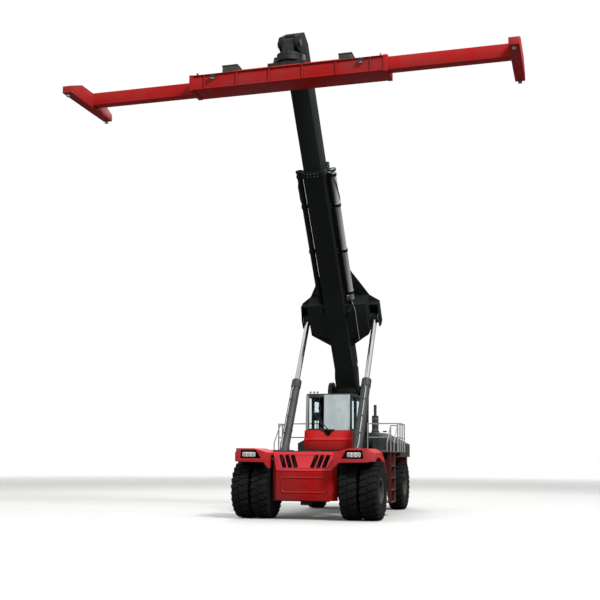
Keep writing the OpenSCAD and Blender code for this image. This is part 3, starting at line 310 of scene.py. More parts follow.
def repeat_tree(name, round_x):
    """Copies of one form, evenly round the local X axis or in a straight row."""
    tree, given, gives, node = group("Geometry", name, [
        ("Geometry", "Geometry", None), ("Form", "Object", None), ("Count", "Int", 10),
        ("Step", "Vector", None), ("Radius", "Float", 0.2), ("Turn", "Float", 0.0),
        ("Finish", "Material", None)], [("Geometry", "Geometry")])
    form = node("GeometryNodeObjectInfo", {"Object": given["Form"]}).outputs["Geometry"]
    line = node("GeometryNodeMeshLine", {"Count": given["Count"], "Offset": given["Step"]})
    put = {"Points": line.outputs[0], "Instance": form}
    if round_x:
        share = maths(node, "DIVIDE", node("GeometryNodeInputIndex").outputs[0], given["Count"])
        angle = scaled(node, share, math.tau, given["Turn"])
        turn = node("CombineXYZ", {0: angle}).outputs[0]
        spot = node("CombineXYZ", {2: given["Radius"]}).outputs[0]
        place = node("VectorRotate", {"Vector": spot, "Rotation": turn},
            rotation_type="EULER_XYZ").outputs[0]
        ring = node("GeometryNodeSetPosition", {"Geometry": line.outputs[0], "Position": place})
        put = {"Points": ring.outputs[0], "Instance": form, "Rotation": turn}
    real = node("GeometryNodeRealizeInstances",
        {0: node("GeometryNodeInstanceOnPoints", put).outputs[0]})
    coat = node("GeometryNodeSetMaterial", {"Geometry": real.outputs[0],
        "Material": given["Finish"]})
    tree.links.new(coat.outputs[0], gives[0])
    return tree


RING, ROW = repeat_tree("ring", True), repeat_tree("row", False)


def repeated(shape, tree, count, finish, place, **more):
    """The plain mesh that a repeat tree makes from a form and its sizes."""
    form = linked("form", mesh_of(shape, merge=False))
    host = linked("host", bpy.data.meshes.new("host"))
    values = {"Form": form, "Count": count, "Finish": FINISH[finish][1], **more}
    mod = host.modifiers.new("repeat", "NODES")
    mod.node_group = tree
    for item in tree.interface.items_tree:
        if item.in_out == "INPUT" and item.name in values:
            mod[item.identifier] = values[item.name]
    bpy.context.view_layer.update()
    mesh = evaluated(host)
    bpy.data.objects.remove(form)
    mesh.transform(place)
    return mesh


# Finishes
# The pale red of the painted highlight on upward faces.
PAINTED_HIGHLIGHT_RED = (0.74, 0.055, 0.075, 1)


def weathering_and_sky_highlight():
    """Faded paint with dust, run marks down upright faces and splashes near the ground, and a
    painted highlight that makes upward faces paler.
    """
    tree, given, gives, node = group("Shader", "weathering_and_sky_highlight", [
        ("Vector", "Vector", None), ("Paint", "Color", None), ("Dust", "Color", None),
        ("Dustiness", "Float", 0.3), ("Runs", "Float", 0.3), ("Roughness", "Float", 0.4),
        ("Peel", "Float", 0.2), ("Bleach", "Float", 0.0)],
        [("Color", "Color"), ("Roughness", "Float"), ("Height", "Float")])
    vec, colour = given["Vector"], given["Paint"]
    broad = noise(node, vec, 0.9, 5)
    fine = noise(node, vec, 22.0, 4)
    tall = node("Mapping", {"Vector": vec, "Scale": (14, 14, 0.7)})
    runs = spread(node, noise(node, tall.outputs[0], 1.0, 5, 0.6), 0.52, 0.78)
    low = spread(node, split(node, vec)[2], 1.9, 0.35)
    splash = times(node, low, spread(node, noise(node, vec, 6.0, 6, 0.65), 0.35, 0.75))
    dusty = times(node, spread(node, broad, 0.4, 0.75), spread(node, fine, 0.3, 0.7))
    dusty = times(node, maths(node, "ADD", dusty, splash), given["Dustiness"])
    streak = times(node, runs, given["Runs"])
    mask = maths(node, "MINIMUM", maths(node, "ADD", dusty, streak), 0.85)
    darker = node("HueSaturation", {"Color": colour, "Value": 0.78,
        "Saturation": 0.92}).outputs[0]
    faded_and_highlit = mixed(node, spread(node, broad, 0.35, 0.65), darker, colour)
    # Upward faces are mixed towards a pale red: a painted highlight for the light from above.
    upward = split(node, node("NewGeometry").outputs["True Normal"])[2]
    upward_highlight = times(node, spread(node, upward, 0.05, 0.2), given["Bleach"])
    pale = mixed(node, 0.7, faded_and_highlit, PAINTED_HIGHLIGHT_RED)
    faded_and_highlit = mixed(node, upward_highlight, faded_and_highlit, pale)
    rough = scaled(node, mask, 0.45, given["Roughness"])
    peel = times(node, noise(node, vec, 160.0, 2), given["Peel"])
    tree.links.new(mixed(node, mask, faded_and_highlit, given["Dust"]), gives["Color"])
    tree.links.new(scaled(node, fine, 0.08, rough), gives["Roughness"])
    tree.links.new(scaled(node, mask, 0.35, peel), gives["Height"])
    return tree


def edge_wear():
    """Rounded look along sharp edges, and a mask of where paint is rubbed off them."""
    tree, given, gives, node = group("Shader", "edge_wear", [
        ("Vector", "Vector", None), ("Radius", "Float", 0.008), ("Amount", "Float", 0.5)],
        [("Mask", "Float"), ("Normal", "Vector")])
    rounded = node("Bevel", {"Radius": given["Radius"]}, samples=4).outputs[0]
    flat = node("NewGeometry").outputs["Normal"]
    dot = node("VectorMath", {0: rounded, 1: flat}, operation="DOT_PRODUCT")
    edge = spread(node, dot.outputs["Value"], 0.97, 0.82)
    chips = spread(node, noise(node, given["Vector"], 9.0, 6, 0.7), 0.46, 0.62)
    mask = times(node, times(node, edge, chips), given["Amount"])
    tree.links.new(mask, gives["Mask"])
    tree.links.new(rounded, gives["Normal"])
    return tree


WEATHERING_AND_SKY_HIGHLIGHT, EDGE_WEAR = weathering_and_sky_highlight(), edge_wear()


def new_finish(name):
    """An empty material, its node maker and the place on the object."""
    mat = bpy.data.materials.new(name)
    mat.use_nodes = True
    mat.node_tree.nodes.clear()
    node = node_maker(mat.node_tree)
    return mat, node, node("TexCoord").outputs["Object"]


def surface(mat, node, inputs, cover=None):
    """Ends a material with its shader, see-through where the cover is less than one."""
    shader = node("BsdfPrincipled", inputs).outputs[0]
    if cover:
        clear = node("BsdfTransparent").outputs[0]
        shader = node("MixShader", {0: cover, 1: clear, 2: shader}).outputs[0]
    node("OutputMaterial", {0: shader})
    return mat


def relief(node, height, strength, distance, **more):
    return node("Bump", {"Strength": strength, "Distance": distance, "Height": height,
        **more}).outputs[0]


def wave(node, where, scale, axis):
    return node("TexWave", {"Vector": where, "Scale": scale},
        bands_direction=axis).outputs[1]


def paint(name, colour, roughness=0.4, dust=(0.3, 0.26, 0.22), dustiness=0.3, runs=0.2,
        metal=0.0, wear=0.4, under=(0.1, 0.09, 0.085), peel=0.2, bump=0.12, shine=0.35,
        top_highlight=0.0):
    """Paint or bare metal with dust, runs and rubbed edges, and a painted highlight on upward faces
    where asked.
    """
    mat, node, where = new_finish(name)
    aged_and_highlit = node("Group", {"Vector": where, "Paint": (*colour, 1), "Dust": (*dust, 1),
        "Dustiness": dustiness, "Runs": runs, "Roughness": roughness, "Peel": peel,
        "Bleach": top_highlight}, node_tree=WEATHERING_AND_SKY_HIGHLIGHT).outputs
    rub = node("Group", {"Vector": where, "Amount": wear}, node_tree=EDGE_WEAR).outputs
    normal = relief(node, aged_and_highlit["Height"], bump, 0.01, Normal=rub["Normal"])
    return surface(mat, node, {
        "Base Color": mixed(node, rub["Mask"], aged_and_highlit["Color"], (*under, 1)),
        "Roughness": aged_and_highlit["Roughness"], "Metallic": metal, "Specular IOR Level": shine,
        "Normal": normal})


def rubber(name, colour, dusty):
    """Tyre rubber: scuffed, dusty in its grooves and along the shoulders."""
    mat, node, where = new_finish(name)
    scuff = noise(node, where, 7.0, 8, 0.7)
    fine = noise(node, where, 60.0, 4)
    low = spread(node, split(node, where)[2], 0.9, 0.0)
    share = times(node, spread(node, scuff, 0.42, 0.72),
        scaled(node, low, 0.35, 0.3))
    return surface(mat, node, {
        "Base Color": mixed(node, share, (*colour, 1), (*dusty, 1)),
        "Roughness": scaled(node, fine, 0.15, 0.72), "Specular IOR Level": 0.22,
        "Normal": relief(node, scaled(node, fine, 0.5, scuff), 0.35, 0.006)})


def glass(name, tint, roughness=0.03):
    """Clear window glass with a little grime."""
    mat, node, where = new_finish(name)
    grime = spread(node, noise(node, where, 5.0, 6, 0.65), 0.5, 0.8)
    return surface(mat, node, {"Base Color": (*tint, 1), "Transmission Weight": 1.0, "IOR": 1.05,
        "Specular IOR Level": 0.8, "Roughness": scaled(node, grime, 0.12, roughness)})


def sheen(name, tint, share):
    """A painted reflection: the sky's pale veil on a slanted pane, partly seen through."""
    mat, node, where = new_finish(name)
    patches = spread(node, noise(node, where, 2.2, 5, 0.6), 0.3, 0.72)
    veil = scaled(node, patches, 0.3, share - 0.15)
    return surface(mat, node, {"Base Color": (*tint, 1), "Roughness": 0.25}, veil)


def glow_lens(name, tint, strength):
    """A lamp's lens: ribbed clear glass with a little light of its own."""
    mat, node, where = new_finish(name)
    return surface(mat, node, {"Base Color": (*tint, 1), "Roughness": 0.12, "Coat Weight": 0.6,
        "Emission Color": (*tint, 1), "Emission Strength": strength,
        "Normal": relief(node, wave(node, where, 22.0, "X"), 0.4, 0.004)})


def cloth(name, colour):
    """Woven seat cloth."""
    mat, node, where = new_finish(name)
    weave = times(node, wave(node, where, 90.0, "X"), wave(node, where, 90.0, "Z"))
    dark = tuple(c * 0.55 for c in colour)
    return surface(mat, node, {"Base Color": mixed(node, weave, (*dark, 1), (*colour, 1)),
        "Roughness": 0.9, "Normal": relief(node, weave, 0.4, 0.003)})


COAT = {
    # The two reds are made paler on upward faces as a painted highlight.
    "red_upper": paint("mudguard_red", (0.49, 0.01, 0.014), 0.42, dust=(0.16, 0.06, 0.05),
        dustiness=0.12, runs=0.06, shine=0.14, top_highlight=0.8),
    "red_lower": paint("machine_red", (0.36, 0.003, 0.003), 0.45, dust=(0.12, 0.03, 0.025),
        dustiness=0.1, runs=0.06, shine=0.08, top_highlight=1.0),
    "cab_red": paint("cab_red", (0.56, 0.0036, 0.0036), 0.36, dust=(0.2, 0.05, 0.04),
        dustiness=0.05, runs=0.03, shine=0.12),
    "boom_black": paint("boom_black", (0.015, 0.02, 0.0185), 0.62, dust=(0.026, 0.028, 0.025),
        dustiness=0.16, runs=0.08, under=(0.03, 0.03, 0.028), shine=0.07),
    "chassis_black": paint("chassis_black", (0.008, 0.009, 0.009), 0.55, dust=(0.09, 0.08, 0.066),
        dustiness=0.4, under=(0.05, 0.047, 0.044), shine=0.25),
    "axle_grey": paint("axle_casting", (0.018, 0.019, 0.019), 0.6, dust=(0.12, 0.105, 0.088),
        dustiness=0.5, peel=1.0, bump=0.3),
    "barrel_grey": paint("barrel_grey", (0.046, 0.053, 0.053), 0.42, dust=(0.16, 0.155, 0.14),
        dustiness=0.18, runs=0.12),
    "rim_grey": paint("rim_grey", (0.04, 0.042, 0.041), 0.55, dust=(0.13, 0.115, 0.095),
        dustiness=0.6, wear=0.6),
    "rod_chrome": paint("rod_chrome", (0.78, 0.79, 0.8), 0.12, dust=(0.35, 0.33, 0.3),
        dustiness=0.08, runs=0.08, metal=1.0, wear=0.0, peel=0.0, bump=0.02, shine=0.5),
    "pipe_grey": paint("pipe_grey", (0.44, 0.455, 0.45), 0.42, dust=(0.24, 0.22, 0.19),
        dustiness=0.25),
    "cab_frame": paint("cab_frame", (0.022, 0.025, 0.022), 0.45, dust=(0.12, 0.115, 0.095),
        dustiness=0.25, wear=0.2),
    "trim_plastic": paint("cab_plastic", (0.018, 0.019, 0.02), 0.65, dust=(0.1, 0.09, 0.08),
        dustiness=0.15, wear=0.0, peel=1.2, bump=0.2),
    "side_green": paint("side_grey_green", (0.026, 0.034, 0.031), 0.45, dust=(0.12, 0.11, 0.095)),
    "rail_grey": paint("rail_grey", (0.36, 0.38, 0.37), 0.45, dustiness=0.35, wear=0.6),
    "deck_plate": paint("deck_plate", (0.06, 0.062, 0.062), 0.42, dustiness=0.55, runs=0.0,
        metal=0.6, wear=0.8, under=(0.4, 0.4, 0.4)),
    "engine_grey": paint("engine_casting", (0.08, 0.085, 0.085), 0.6, dustiness=0.7, peel=1.0),
    "stack_grey": paint("stack_grey", (0.035, 0.037, 0.036), 0.6, dust=(0.15, 0.09, 0.06),
        dustiness=0.5),
    "lock_steel": paint("lock_steel", (0.28, 0.285, 0.29), 0.42, dust=(0.14, 0.09, 0.06),
        dustiness=0.5, metal=0.9, wear=0.7, under=(0.6, 0.6, 0.6), shine=0.5),
    "tyre_black": rubber("tyre_rubber", (0.0024, 0.0034, 0.003), (0.018, 0.019, 0.016)),
    "pane": glass("cab_pane", (0.8, 0.88, 0.9)),
    "lamp_lens": glow_lens("headlamp_lens", (0.7, 0.73, 0.72), 0.12),
}
HOSE_BLACK = paint("hose_rubber", (0.012, 0.012, 0.012), 0.62, dustiness=0.35, wear=0.0, peel=0.6)
LADDER_RED = paint("ladder_red", (0.085, 0.006, 0.007), 0.5, dust=(0.08, 0.05, 0.04))
# A piece's finish gives its slot and its material; the first ones are the slots' own.
FINISH = {key: (key, coat) for key, coat in COAT.items()}
FINISH.update({
    # The next two finishes are near-black: painted shade in vent openings, lamp recesses and
    # notches.
    "vent_dark": ("trim_plastic", paint("vent_slot_shade", (0.005, 0.001, 0.001), 0.9,
        dustiness=0.02, wear=0.0, shine=0.03)),
    "painted_shade": ("trim_plastic", paint("painted_recess_shade", (0.004, 0.004, 0.004), 0.9,
        dustiness=0.02, wear=0.0, shine=0.05)),
    "hose_black": ("trim_plastic", HOSE_BLACK),
    "line_black": ("pipe_grey", HOSE_BLACK),
    "zinc": ("lock_steel", paint("zinc_plate", (0.42, 0.43, 0.42), 0.4, dust=(0.16, 0.11, 0.08),
        dustiness=0.5, metal=0.9, wear=0.3)),
    "pillar_grey": ("cab_frame", paint("pillar_grey", (0.34, 0.32, 0.295), 0.5, dustiness=0.2,
        wear=0.1)),
    "sheen": ("pane", sheen("windscreen_sheen", (0.56, 0.64, 0.66), 0.74)),
    "amber": ("lamp_lens", glow_lens("amber_lens", (0.7, 0.2, 0.01), 0.0)),
    "lamp_dark": ("lamp_lens", glow_lens("work_lamp_lens", (0.2, 0.22, 0.21), 0.0)),
    "tail_red": ("lamp_lens", glow_lens("tail_red", (0.55, 0.01, 0.01), 0.1)),
    "seat_cloth": ("trim_plastic", cloth("seat_cloth", (0.05, 0.052, 0.058))),
})

for node_name, slot_name in SLOT_OF.items():
    for slot in nodes[node_name].material_slots:
        slot.material = COAT[slot_name]


# Wheels
def tyre_profile():
    """Half of the carcass from rim to crown as (radius, distance), and the same back again."""
    h, crown = TYRE_W / 2, TYRE_R - 0.042
    wall = ((0.002, 0.064), (0.018, 0.048), (0.04, 0.04), (0.055, 0.022), (0.075, 0.02),
        (0.11, 0.012), (0.15, 0.006), (0.21, 0.001), (0.27, 0.002), (0.3, -0.001), (0.32, 0.004))
    shoulder = ((-0.105, 0.006), (-0.06, 0.012), (-0.02, 0.026), (0, 0.055), (0.006, h - 0.1),
        (0.007, h))
    half = [(RIM_R + r, d - h) for r, d in wall] + [(crown + r, d - h) for r, d in shoulder]
    return half + [(r, -d) for r, d in half[-2::-1]]


def tyre_lug():
    """One slanted tread bar of the +X row, running down over the shoulder."""
    h, foot, top = TYRE_W / 2, TYRE_R - 0.058, TYRE_R - 0.004
    lean, width = math.radians(16), 0.112
    points = []
    for x, half in ((0.012, 0.5), (h * 0.5, 0.5), (h - 0.03, 0.44), (h - 0.005, 0.4)):
        out = x >= h - 0.01
        z_top = top - max(0, x - (h - 0.05)) * 0.5 - (0.022 if out else 0)
        z_foot = foot - (0.06 if out else 0)
        for t, z in ((-half, z_foot), (-half * 0.93, z_top), (half * 0.93, z_top), (half, z_foot)):
            y, u = t * width, x - h / 2
            points.append((u * math.cos(lean) - y * math.sin(lean) + h / 2,
                u * math.sin(lean) + y * math.cos(lean), z))
    sides = [f for k in (0, 4, 8) for f in band(4, k, k + 4)]
    return Shape().add(points, [range(4), range(12, 16), *sides])


def tyre_mesh():
    """A whole tyre about the wheel's middle, lugs and shoulder ribs repeated round it."""
    h = TYRE_W / 2
    rib = Shape().block(h - 0.012, h + 0.0005, -0.012, 0.012, TYRE_R - 0.155, TYRE_R - 0.085)
    parts = [mesh_of(Shape().lathe(tyre_profile(), steps=96))]
    for form, count, turn in ((tyre_lug(), 26, 0.0), (rib, 52, 0.06)):
        for side, share in ((LEFT, 0.0), (RIGHT, 0.5)):
            parts.append(repeated(form, RING, count, "tyre_black", FACING[side], Radius=0.0,
                Turn=turn + share * math.tau / count))
    return joined("tyre", parts)


def wheel_nut(r, h):
    return Shape().rod((0, 0, 0), (h, 0, 0), r, 6).rod((0, 0, 0), (h * 1.5, 0, 0), r * 0.5, 8)


def wheels():
    tyre = tyre_mesh()
    for side, name in SIDES:
        body, hub = f"drive_wheel_{name}", wheel_place(side, DRIVE_X, 0)
        twins = [joined("one", [tyre], hub @ shift((x, 0, 0))) for x in (-TWIN / 2, TWIN / 2)]
        place_piece(f"drive_tread_{name}", joined("twins", twins), "tyre_black", body,
            (f"drive_tyres_{name}",), smooth=40)
        place_piece(f"steer_tread_{name}",
            joined("single", [tyre], wheel_place(side, STEER_X, STEER_Y)), "tyre_black",
            f"steer_wheel_{name}", (f"steer_tyre_{name}",), smooth=40)
        for kind, nut, count, radius, out in (
                ("drive_nuts", wheel_nut(0.016, 0.022), 20, 0.27, 0.1305),
                ("hub_cap_screws", wheel_nut(0.01, 0.012), 8, 0.13, 0.2365)):
            place_piece(f"{kind}_{name}", repeated(nut, RING, count, "zinc",
                hub @ shift((out, 0, 0)), Radius=radius), "zinc", body)


# Panels with rounded edges
def softened(node, radius, steps=2):
    """A copy of a solid's mesh with its flat faces joined up and its sharp edges rounded."""
    bm = bmesh.new()
    bm.from_mesh(nodes[node].data)
    bmesh.ops.remove_doubles(bm, verts=bm.verts, dist=2e-5)
    bmesh.ops.dissolve_limit(bm, angle_limit=math.radians(1), verts=bm.verts, edges=bm.edges)
    round_edges(bm, radius, steps, 0.44)
    return mesh_from(bm, node)


def dress(node, radius, extra=None, bevel=0.0, steps=2, name=None, change=None):
    """A node's rounded copy in its own finish, changed or with one more shape joined to it."""
    body = next(b for b, held in record["behaviour"]["bodies"].items() if node in held)
    mesh = softened(node, radius, steps)
    if change:
        change(mesh)
    if extra:
        mesh = joined(node, [mesh, mesh_of(extra, PLACES.get(body, MACHINE), bevel)])
    return place_piece(name or node + "_panel", mesh, SLOT_OF[node], body, (node,))


def rounded_slot(low, high, half, steps=5):
    """Outline of a slanted slot with level ends and rounded corners, from low to high."""
    r = half * 0.45
    lean = (high[0] - low[0]) / (high[1] - low[1])
    points = []
    for cx, y, start in ((-1, low[1] + r, 180), (1, low[1] + r, 270), (1, high[1] - r, 0),
            (-1, high[1] - r, 90)):
        x = low[0] + lean * (y - low[1]) + cx * (half - r)
        for k in range(steps + 1):
            a = math.radians(start + 90 * k / steps)
            points.append((x + r * math.cos(a), y + r * math.sin(a)))
    return points


def move_vents(mesh):
    """The hood's vents, nearer to its middle as in the photograph."""
    for v in mesh.vertices:
        if 1.42 < v.co.z < 1.82 and abs(v.co.x) < 0.86:
            v.co.x -= math.copysign(VENT_SHIFT, v.co.x)


def hood():
    """Front hood with its pressed field, crease lines and the near-black plates in and behind its
    vents that are painted shade.
    """
    outer = [(-0.66, 0.8), (-0.6, 0.735), (0.6, 0.735), (0.66, 0.8), (0.66, 1.1),
        (0.6, 1.165), (-0.6, 1.165), (-0.66, 1.1)]
    inner = [(x * 0.955, 0.95 + (z - 0.95) * 0.86) for x, z in outer]
    lean = tilted(0, -0.6, 1.35, -math.degrees(math.atan2(0.12, 0.505)))
    rim = [(-0.8, 0.44), (0.8, 0.44), (0.8, 0.3), (0.66, 0.065), (-0.66, 0.065),
        (-0.8, 0.3)]
    field, lines = Shape().border(outer, inner, -0.616, -0.59), Shape()
    for p, q in zip(rim, rim[1:] + rim[:1]):
        lines.rod((p[0], -0.001, p[1]), (q[0], -0.001, q[1]), 0.008, 8, lean)
    lines.rod((-0.78, -0.602, 1.345), (0.78, -0.602, 1.345), 0.01, 8)
    panel = softened("front_hood", 0.01)
    move_vents(panel)
    parts = [panel, mesh_of(field, MACHINE, 0.006), mesh_of(lines, MACHINE)]
    place_piece("front_hood_panel", joined("front_hood", parts), "red_lower", "chassis",
        ("front_hood",))
    back_shade, frames = Shape(), Shape()
    for i in range(3):
        x = 0.285 - VENT_SHIFT + 0.165 * i
        back_shade.prism([(x - 0.012, 1.44), (x + 0.102, 1.44), (x + 0.225, 1.79), (x + 0.095, 1.79)],
            -0.5, -0.44, "y")
        frames.prism(rounded_slot((x + 0.04, 0.075), (x + 0.16, 0.42), 0.062), -0.006, 0.01,
            "y", lean)
    # Near-black plates behind the vents and over their slots are painted shade of the openings.
    piece("vent_lining", back_shade.mirror(), "painted_shade")
    piece("vent_louvres", frames.mirror(), "vent_dark")
    sill = Shape().block(-0.7, 0.7, -0.56, -0.44, 0.505, 0.532)
    sill.block(-0.13, 0.13, -0.45, -0.2, 0.4, 0.53)
    piece("hood_underguard", sill, "chassis_black", 0.006)


def lamps():
    """Wide headlamps with three reflectors behind one lens, and round tail lamps."""
    x0, x1, z0, z1, cut = 1.285, 1.675, 1.712, 1.852, 0.02
    mid, height = (x0 + x1) / 2, (z0 + z1) / 2
    bezel = Shape().prism([(1.128, 1.676), (1.742, 1.676), (1.704, 1.893), (1.273, 1.893)],
        -0.884, -0.862, "y")
    ring = ((x0, z0 + cut), (x0 + cut, z0), (x1 - cut, z0), (x1, z0 + cut), (x1, z1 - cut),
        (x1 - cut, z1), (x0 + cut, z1), (x0, z1 - cut))
    frames = Shape().prism(ring, -0.925, -0.88, "y")
    inside = [(mid + (u - mid) * 0.95, height + (w - height) * 0.86) for u, w in ring]
    lenses = Shape().prism(inside, -0.934, -0.9255, "y")
    bowls, rings, rear = Shape(), Shape(), Shape()
    for k in range(3):
        spot = shift((mid + 0.122 * (k - 1), -0.9345, height))
        bowls.ring(0.036, 0.05, 0.0, -0.005, "y", 28, spot)
        bowls.lathe([(0.0, 0.0), (0.016, 0.0), (0.013, -0.007), (0.0, -0.009)], "y", 16, spot)
    for x in (0.95, 1.12):
        spot = shift((x, 7.4503, 1.48))
        rings.lathe([(0.045, 0), (0.066, 0), (0.066, 0.0217), (0.06, 0.0277), (0.045, 0.0277)],
            "y", 32, spot)
        rear.lathe([(0, 0), (0.05, 0), (0.05, 0.0237), (0.03, 0.0327), (0, 0.0357)], "y", 32,
            spot)
    # The bezel's near-black stands for the lamp recess's shade: painted shade.
    piece("headlamp_bezels", bezel.mirror(), "painted_shade", 0.006, replaces=("lamps",))
    piece("headlamp_frames", frames.mirror(), "trim_plastic", 0.006)
    piece("headlamp_lenses", lenses.mirror(), "lamp_lens", 0.004)
    piece("headlamp_units", bowls.mirror(), "barrel_grey")
    piece("tail_lamp_rings", rings.mirror(), "trim_plastic")
    piece("tail_lamp_lenses", rear.mirror(), "tail_red")


def narrow_mudguards(mesh):
    """Narrower mudguards with their upper corners cut off, as in the photograph."""
    bm = bmesh.new()
    bm.from_mesh(mesh)
    for z in (1.84, 1.9):
        bmesh.ops.bisect_plane(bm, geom=[*bm.verts, *bm.edges, *bm.faces], dist=1e-5,
            plane_co=(0, 0, z), plane_no=(0, 0, 1))
    for v in bm.verts:
        x, side = abs(v.co.x), math.copysign(1, v.co.x)
        if x > 1.78:
            x = 1.78 + (x - 1.78) * 0.62
        if x > 1.9 and v.co.z > 1.84:
            x -= (v.co.z - 1.84) * 0.9
        v.co.x = side * x
    bm.to_mesh(mesh)
    bm.free()


def sheet_metal():
    """Body panels, casting and tanks, each with its edges rounded off."""
    dress("mudguards", 0.008, change=narrow_mudguards)
    crease = Shape().prism([(1.995, 2.245), (1.972, 2.232), (1.972, 2.225), (1.995, 2.218)],
        -0.68, 0.68)
    dress("cab_base", 0.014, crease, 0.003)
    # A near-black plate in the cab base's notch is painted shade.
    notch = Shape().prism([(-0.145, 2.518), (-0.055, 2.365), (0.055, 2.365), (0.145, 2.518)],
        2.028, 2.05, "y")
    piece("cab_base_notch", notch, "painted_shade", 0.004)
    lugs = Shape().ring(0.035, 0.07, -0.02, 0.02, "x", 24, shift((0.9, 7.15, 1.915)))
    lugs.block(0.88, 0.92, 7.08, 7.22, 1.868, 1.88)
    dress("counterweight", 0.028, lugs.mirror(), 0.004, 3)
    dress("side_tanks", 0.018)
    dress("engine_cover", 0.014)


# Cab
CAB_HALF, CAB_Y0, CAB_Y1, SILL, ROOF, CAB_FLOOR = 0.69, 2.05, 3.8, 2.52, 3.63, 2.055


def seal_strip(shape, low, high, depth, radius, axis="y", place=None):
    """A rubber strip round a rectangular window opening that faces along the axis."""
    outline = (low, (high[0], low[1]), high, (low[0], high[1]))
    corners = [Vector(along(p, depth, axis)) for p in outline]
    for p, q in zip(corners, corners[1:] + corners[:1]):
        shape.rod(p, q, radius, 8, place)
        shape.rod(p, p + Vector((0, 0, 1e-4)), radius, 8, place)


def cab_outside():
    """Window seals, pillar trim, a painted sky reflection on the windscreen, wiper, gutters, roof
    lamps and beacon.
    """
    strips, trim = Shape(), Shape()
    front = tilted(0, CAB_Y0 + 0.002, SILL, -math.degrees(math.atan2(0.04, 1.03)))
    for x0, x1 in ((-0.615, -0.135), (-0.085, 0.615)):
        seal_strip(strips, (x0, 0.04), (x1, 1.0), 0.004, 0.011, "y", front)
    for side in (LEFT, RIGHT):
        seal_strip(strips, (CAB_Y0 + 0.17, SILL + 0.04), (2.71, 3.52), side * (CAB_HALF + 0.002),
            0.01, "x")
    seal_strip(strips, (-0.57, 2.5), (0.57, 3.5), CAB_Y1 + 0.002, 0.01)
    piece("window_seals", strips, "hose_black")
    trim.prism([(-0.7, 0.02), (-0.622, 0.02), (-0.622, 1.02), (-0.7, 1.02)], -0.012, 0.004, "y",
        front)
    trim.prism([(-0.622, 1.02), (-0.7, 1.02), (-0.7, 1.06), (-0.622, 1.06)], -0.01, 0.004, "y",
        front)
    piece("front_pillar_trim", trim, "pillar_grey", 0.005)
    # A pale film in front of the windscreen is a painted reflection of the sky.
    sky_reflection = Shape().block(-0.13, 0.67, -0.011, -0.008, 0.0, 1.07, front)
    piece("windscreen_sheen", sky_reflection, "sheen")

    wiper, base = Shape(), shift((0, CAB_Y0, SILL))
    wiper.rod((-0.02, -0.02, 0.035), (-0.02, -0.075, 0.045), 0.024, 12, base)
    wiper.rod((-0.02, -0.06, 0.05), (-0.3, -0.034, 0.36), 0.012, 8, base)
    wiper.rod((-0.16, -0.028, 0.14), (-0.47, -0.016, 0.56), 0.012, 8, base)
    wiper.block(-0.2, 0.2, -0.03, 0.01, -0.005, 0.03, base)
    piece("windscreen_wiper", wiper, "trim_plastic")

    gutter = Shape()
    for x, z in ((CAB_HALF - 0.01, 3.555), (CAB_HALF + 0.022, 3.575)):
        gutter.block(x, CAB_HALF + 0.03, CAB_Y0 + 0.12, CAB_Y1 - 0.02, 3.535, z)
    gutter.mirror().block(-0.55, 0.55, 3.15, 3.72, ROOF - 0.012, ROOF + 0.05)
    piece("roof_gutters", gutter, "cab_frame", 0.006)

    heads, faces = Shape(), Shape()
    for x in (-0.56, -0.45, -0.34):
        spot = shift((x, CAB_Y0 + 0.04, ROOF + 0.036)) @ Matrix.Scale(0.62, 4)
        heads.block(-0.01, 0.01, 0.02, 0.05, -0.07, -0.02, spot)
        heads.lathe([(0.0, 0.06), (0.03, 0.05), (0.046, 0.015), (0.05, -0.015),
            (0.05, -0.028), (0.043, -0.028), (0.043, -0.015), (0.0, -0.015)], "y", 28, spot)
        faces.lathe([(0.0, -0.016), (0.043, -0.016), (0.041, -0.022), (0.0, -0.026)], "y", 28,
            spot)
    piece("roof_lamp_shells", heads, "trim_plastic")
    piece("roof_lamp_lenses", faces, "lamp_dark")

    foot, dome = Shape(), Shape()
    stand = shift((-0.2, 6.6, COVER_TOP + 0.0002))
    foot.lathe([(0, 0), (0.055, 0), (0.055, 0.02), (0.045, 0.03), (0, 0.03)], "z", 28, stand)
    dome.lathe([(0, 0.03), (0.042, 0.03), (0.042, 0.085), (0.034, 0.105), (0.018, 0.114),
        (0, 0.116)], "z", 32, stand)
    piece("beacon_foot", foot, "trim_plastic")
    piece("beacon_dome", dome, "amber")


def cushion(name, size, place, crown=0.035):
    """A stuffed pad: a crowned form whose sides pull in towards its corners, with a sewn edge."""
    w, d, h = size
    n = 56
    rows = []
    for level in (0.0, 0.35, 0.7, 1.0):
        row = []
        for i in range(n):
            t = i / n * math.tau
            c, s = math.cos(t), math.sin(t)
            square = 1 / (c ** 4 + s ** 4) ** 0.25
            pull = 1 - 0.03 * math.cos(4 * t) - (0.05 if level in (0.0, 1.0) else 0)
            row.append((c * square * w / 2 * pull, s * square * d / 2 * pull, h * level))
        rows.append(row)
    for share in (0.75, 0.5, 0.25):
        lift = crown * (1 - share ** 2)
        rows.append([(x * share, y * share, h + lift - 0.01 * math.exp(
            -((abs(x * share) - w * 0.22) / 0.012) ** 2)) for x, y, _ in rows[3]])
    sides = [f for k in range(len(rows) - 1) for f in band(n, k * n, (k + 1) * n)]
    ends = [range(n), range(len(rows) * n - n, len(rows) * n)]
    shape = Shape().add([p for row in rows for p in row], [*ends, *sides])
    obj = linked(name, mesh_of(shape, place))
    smooth = obj.modifiers.new("soft", "SUBSURF")
    smooth.levels = smooth.render_levels = 1
    pad = place_piece(name, evaluated(obj), "seat_cloth", smooth=60)


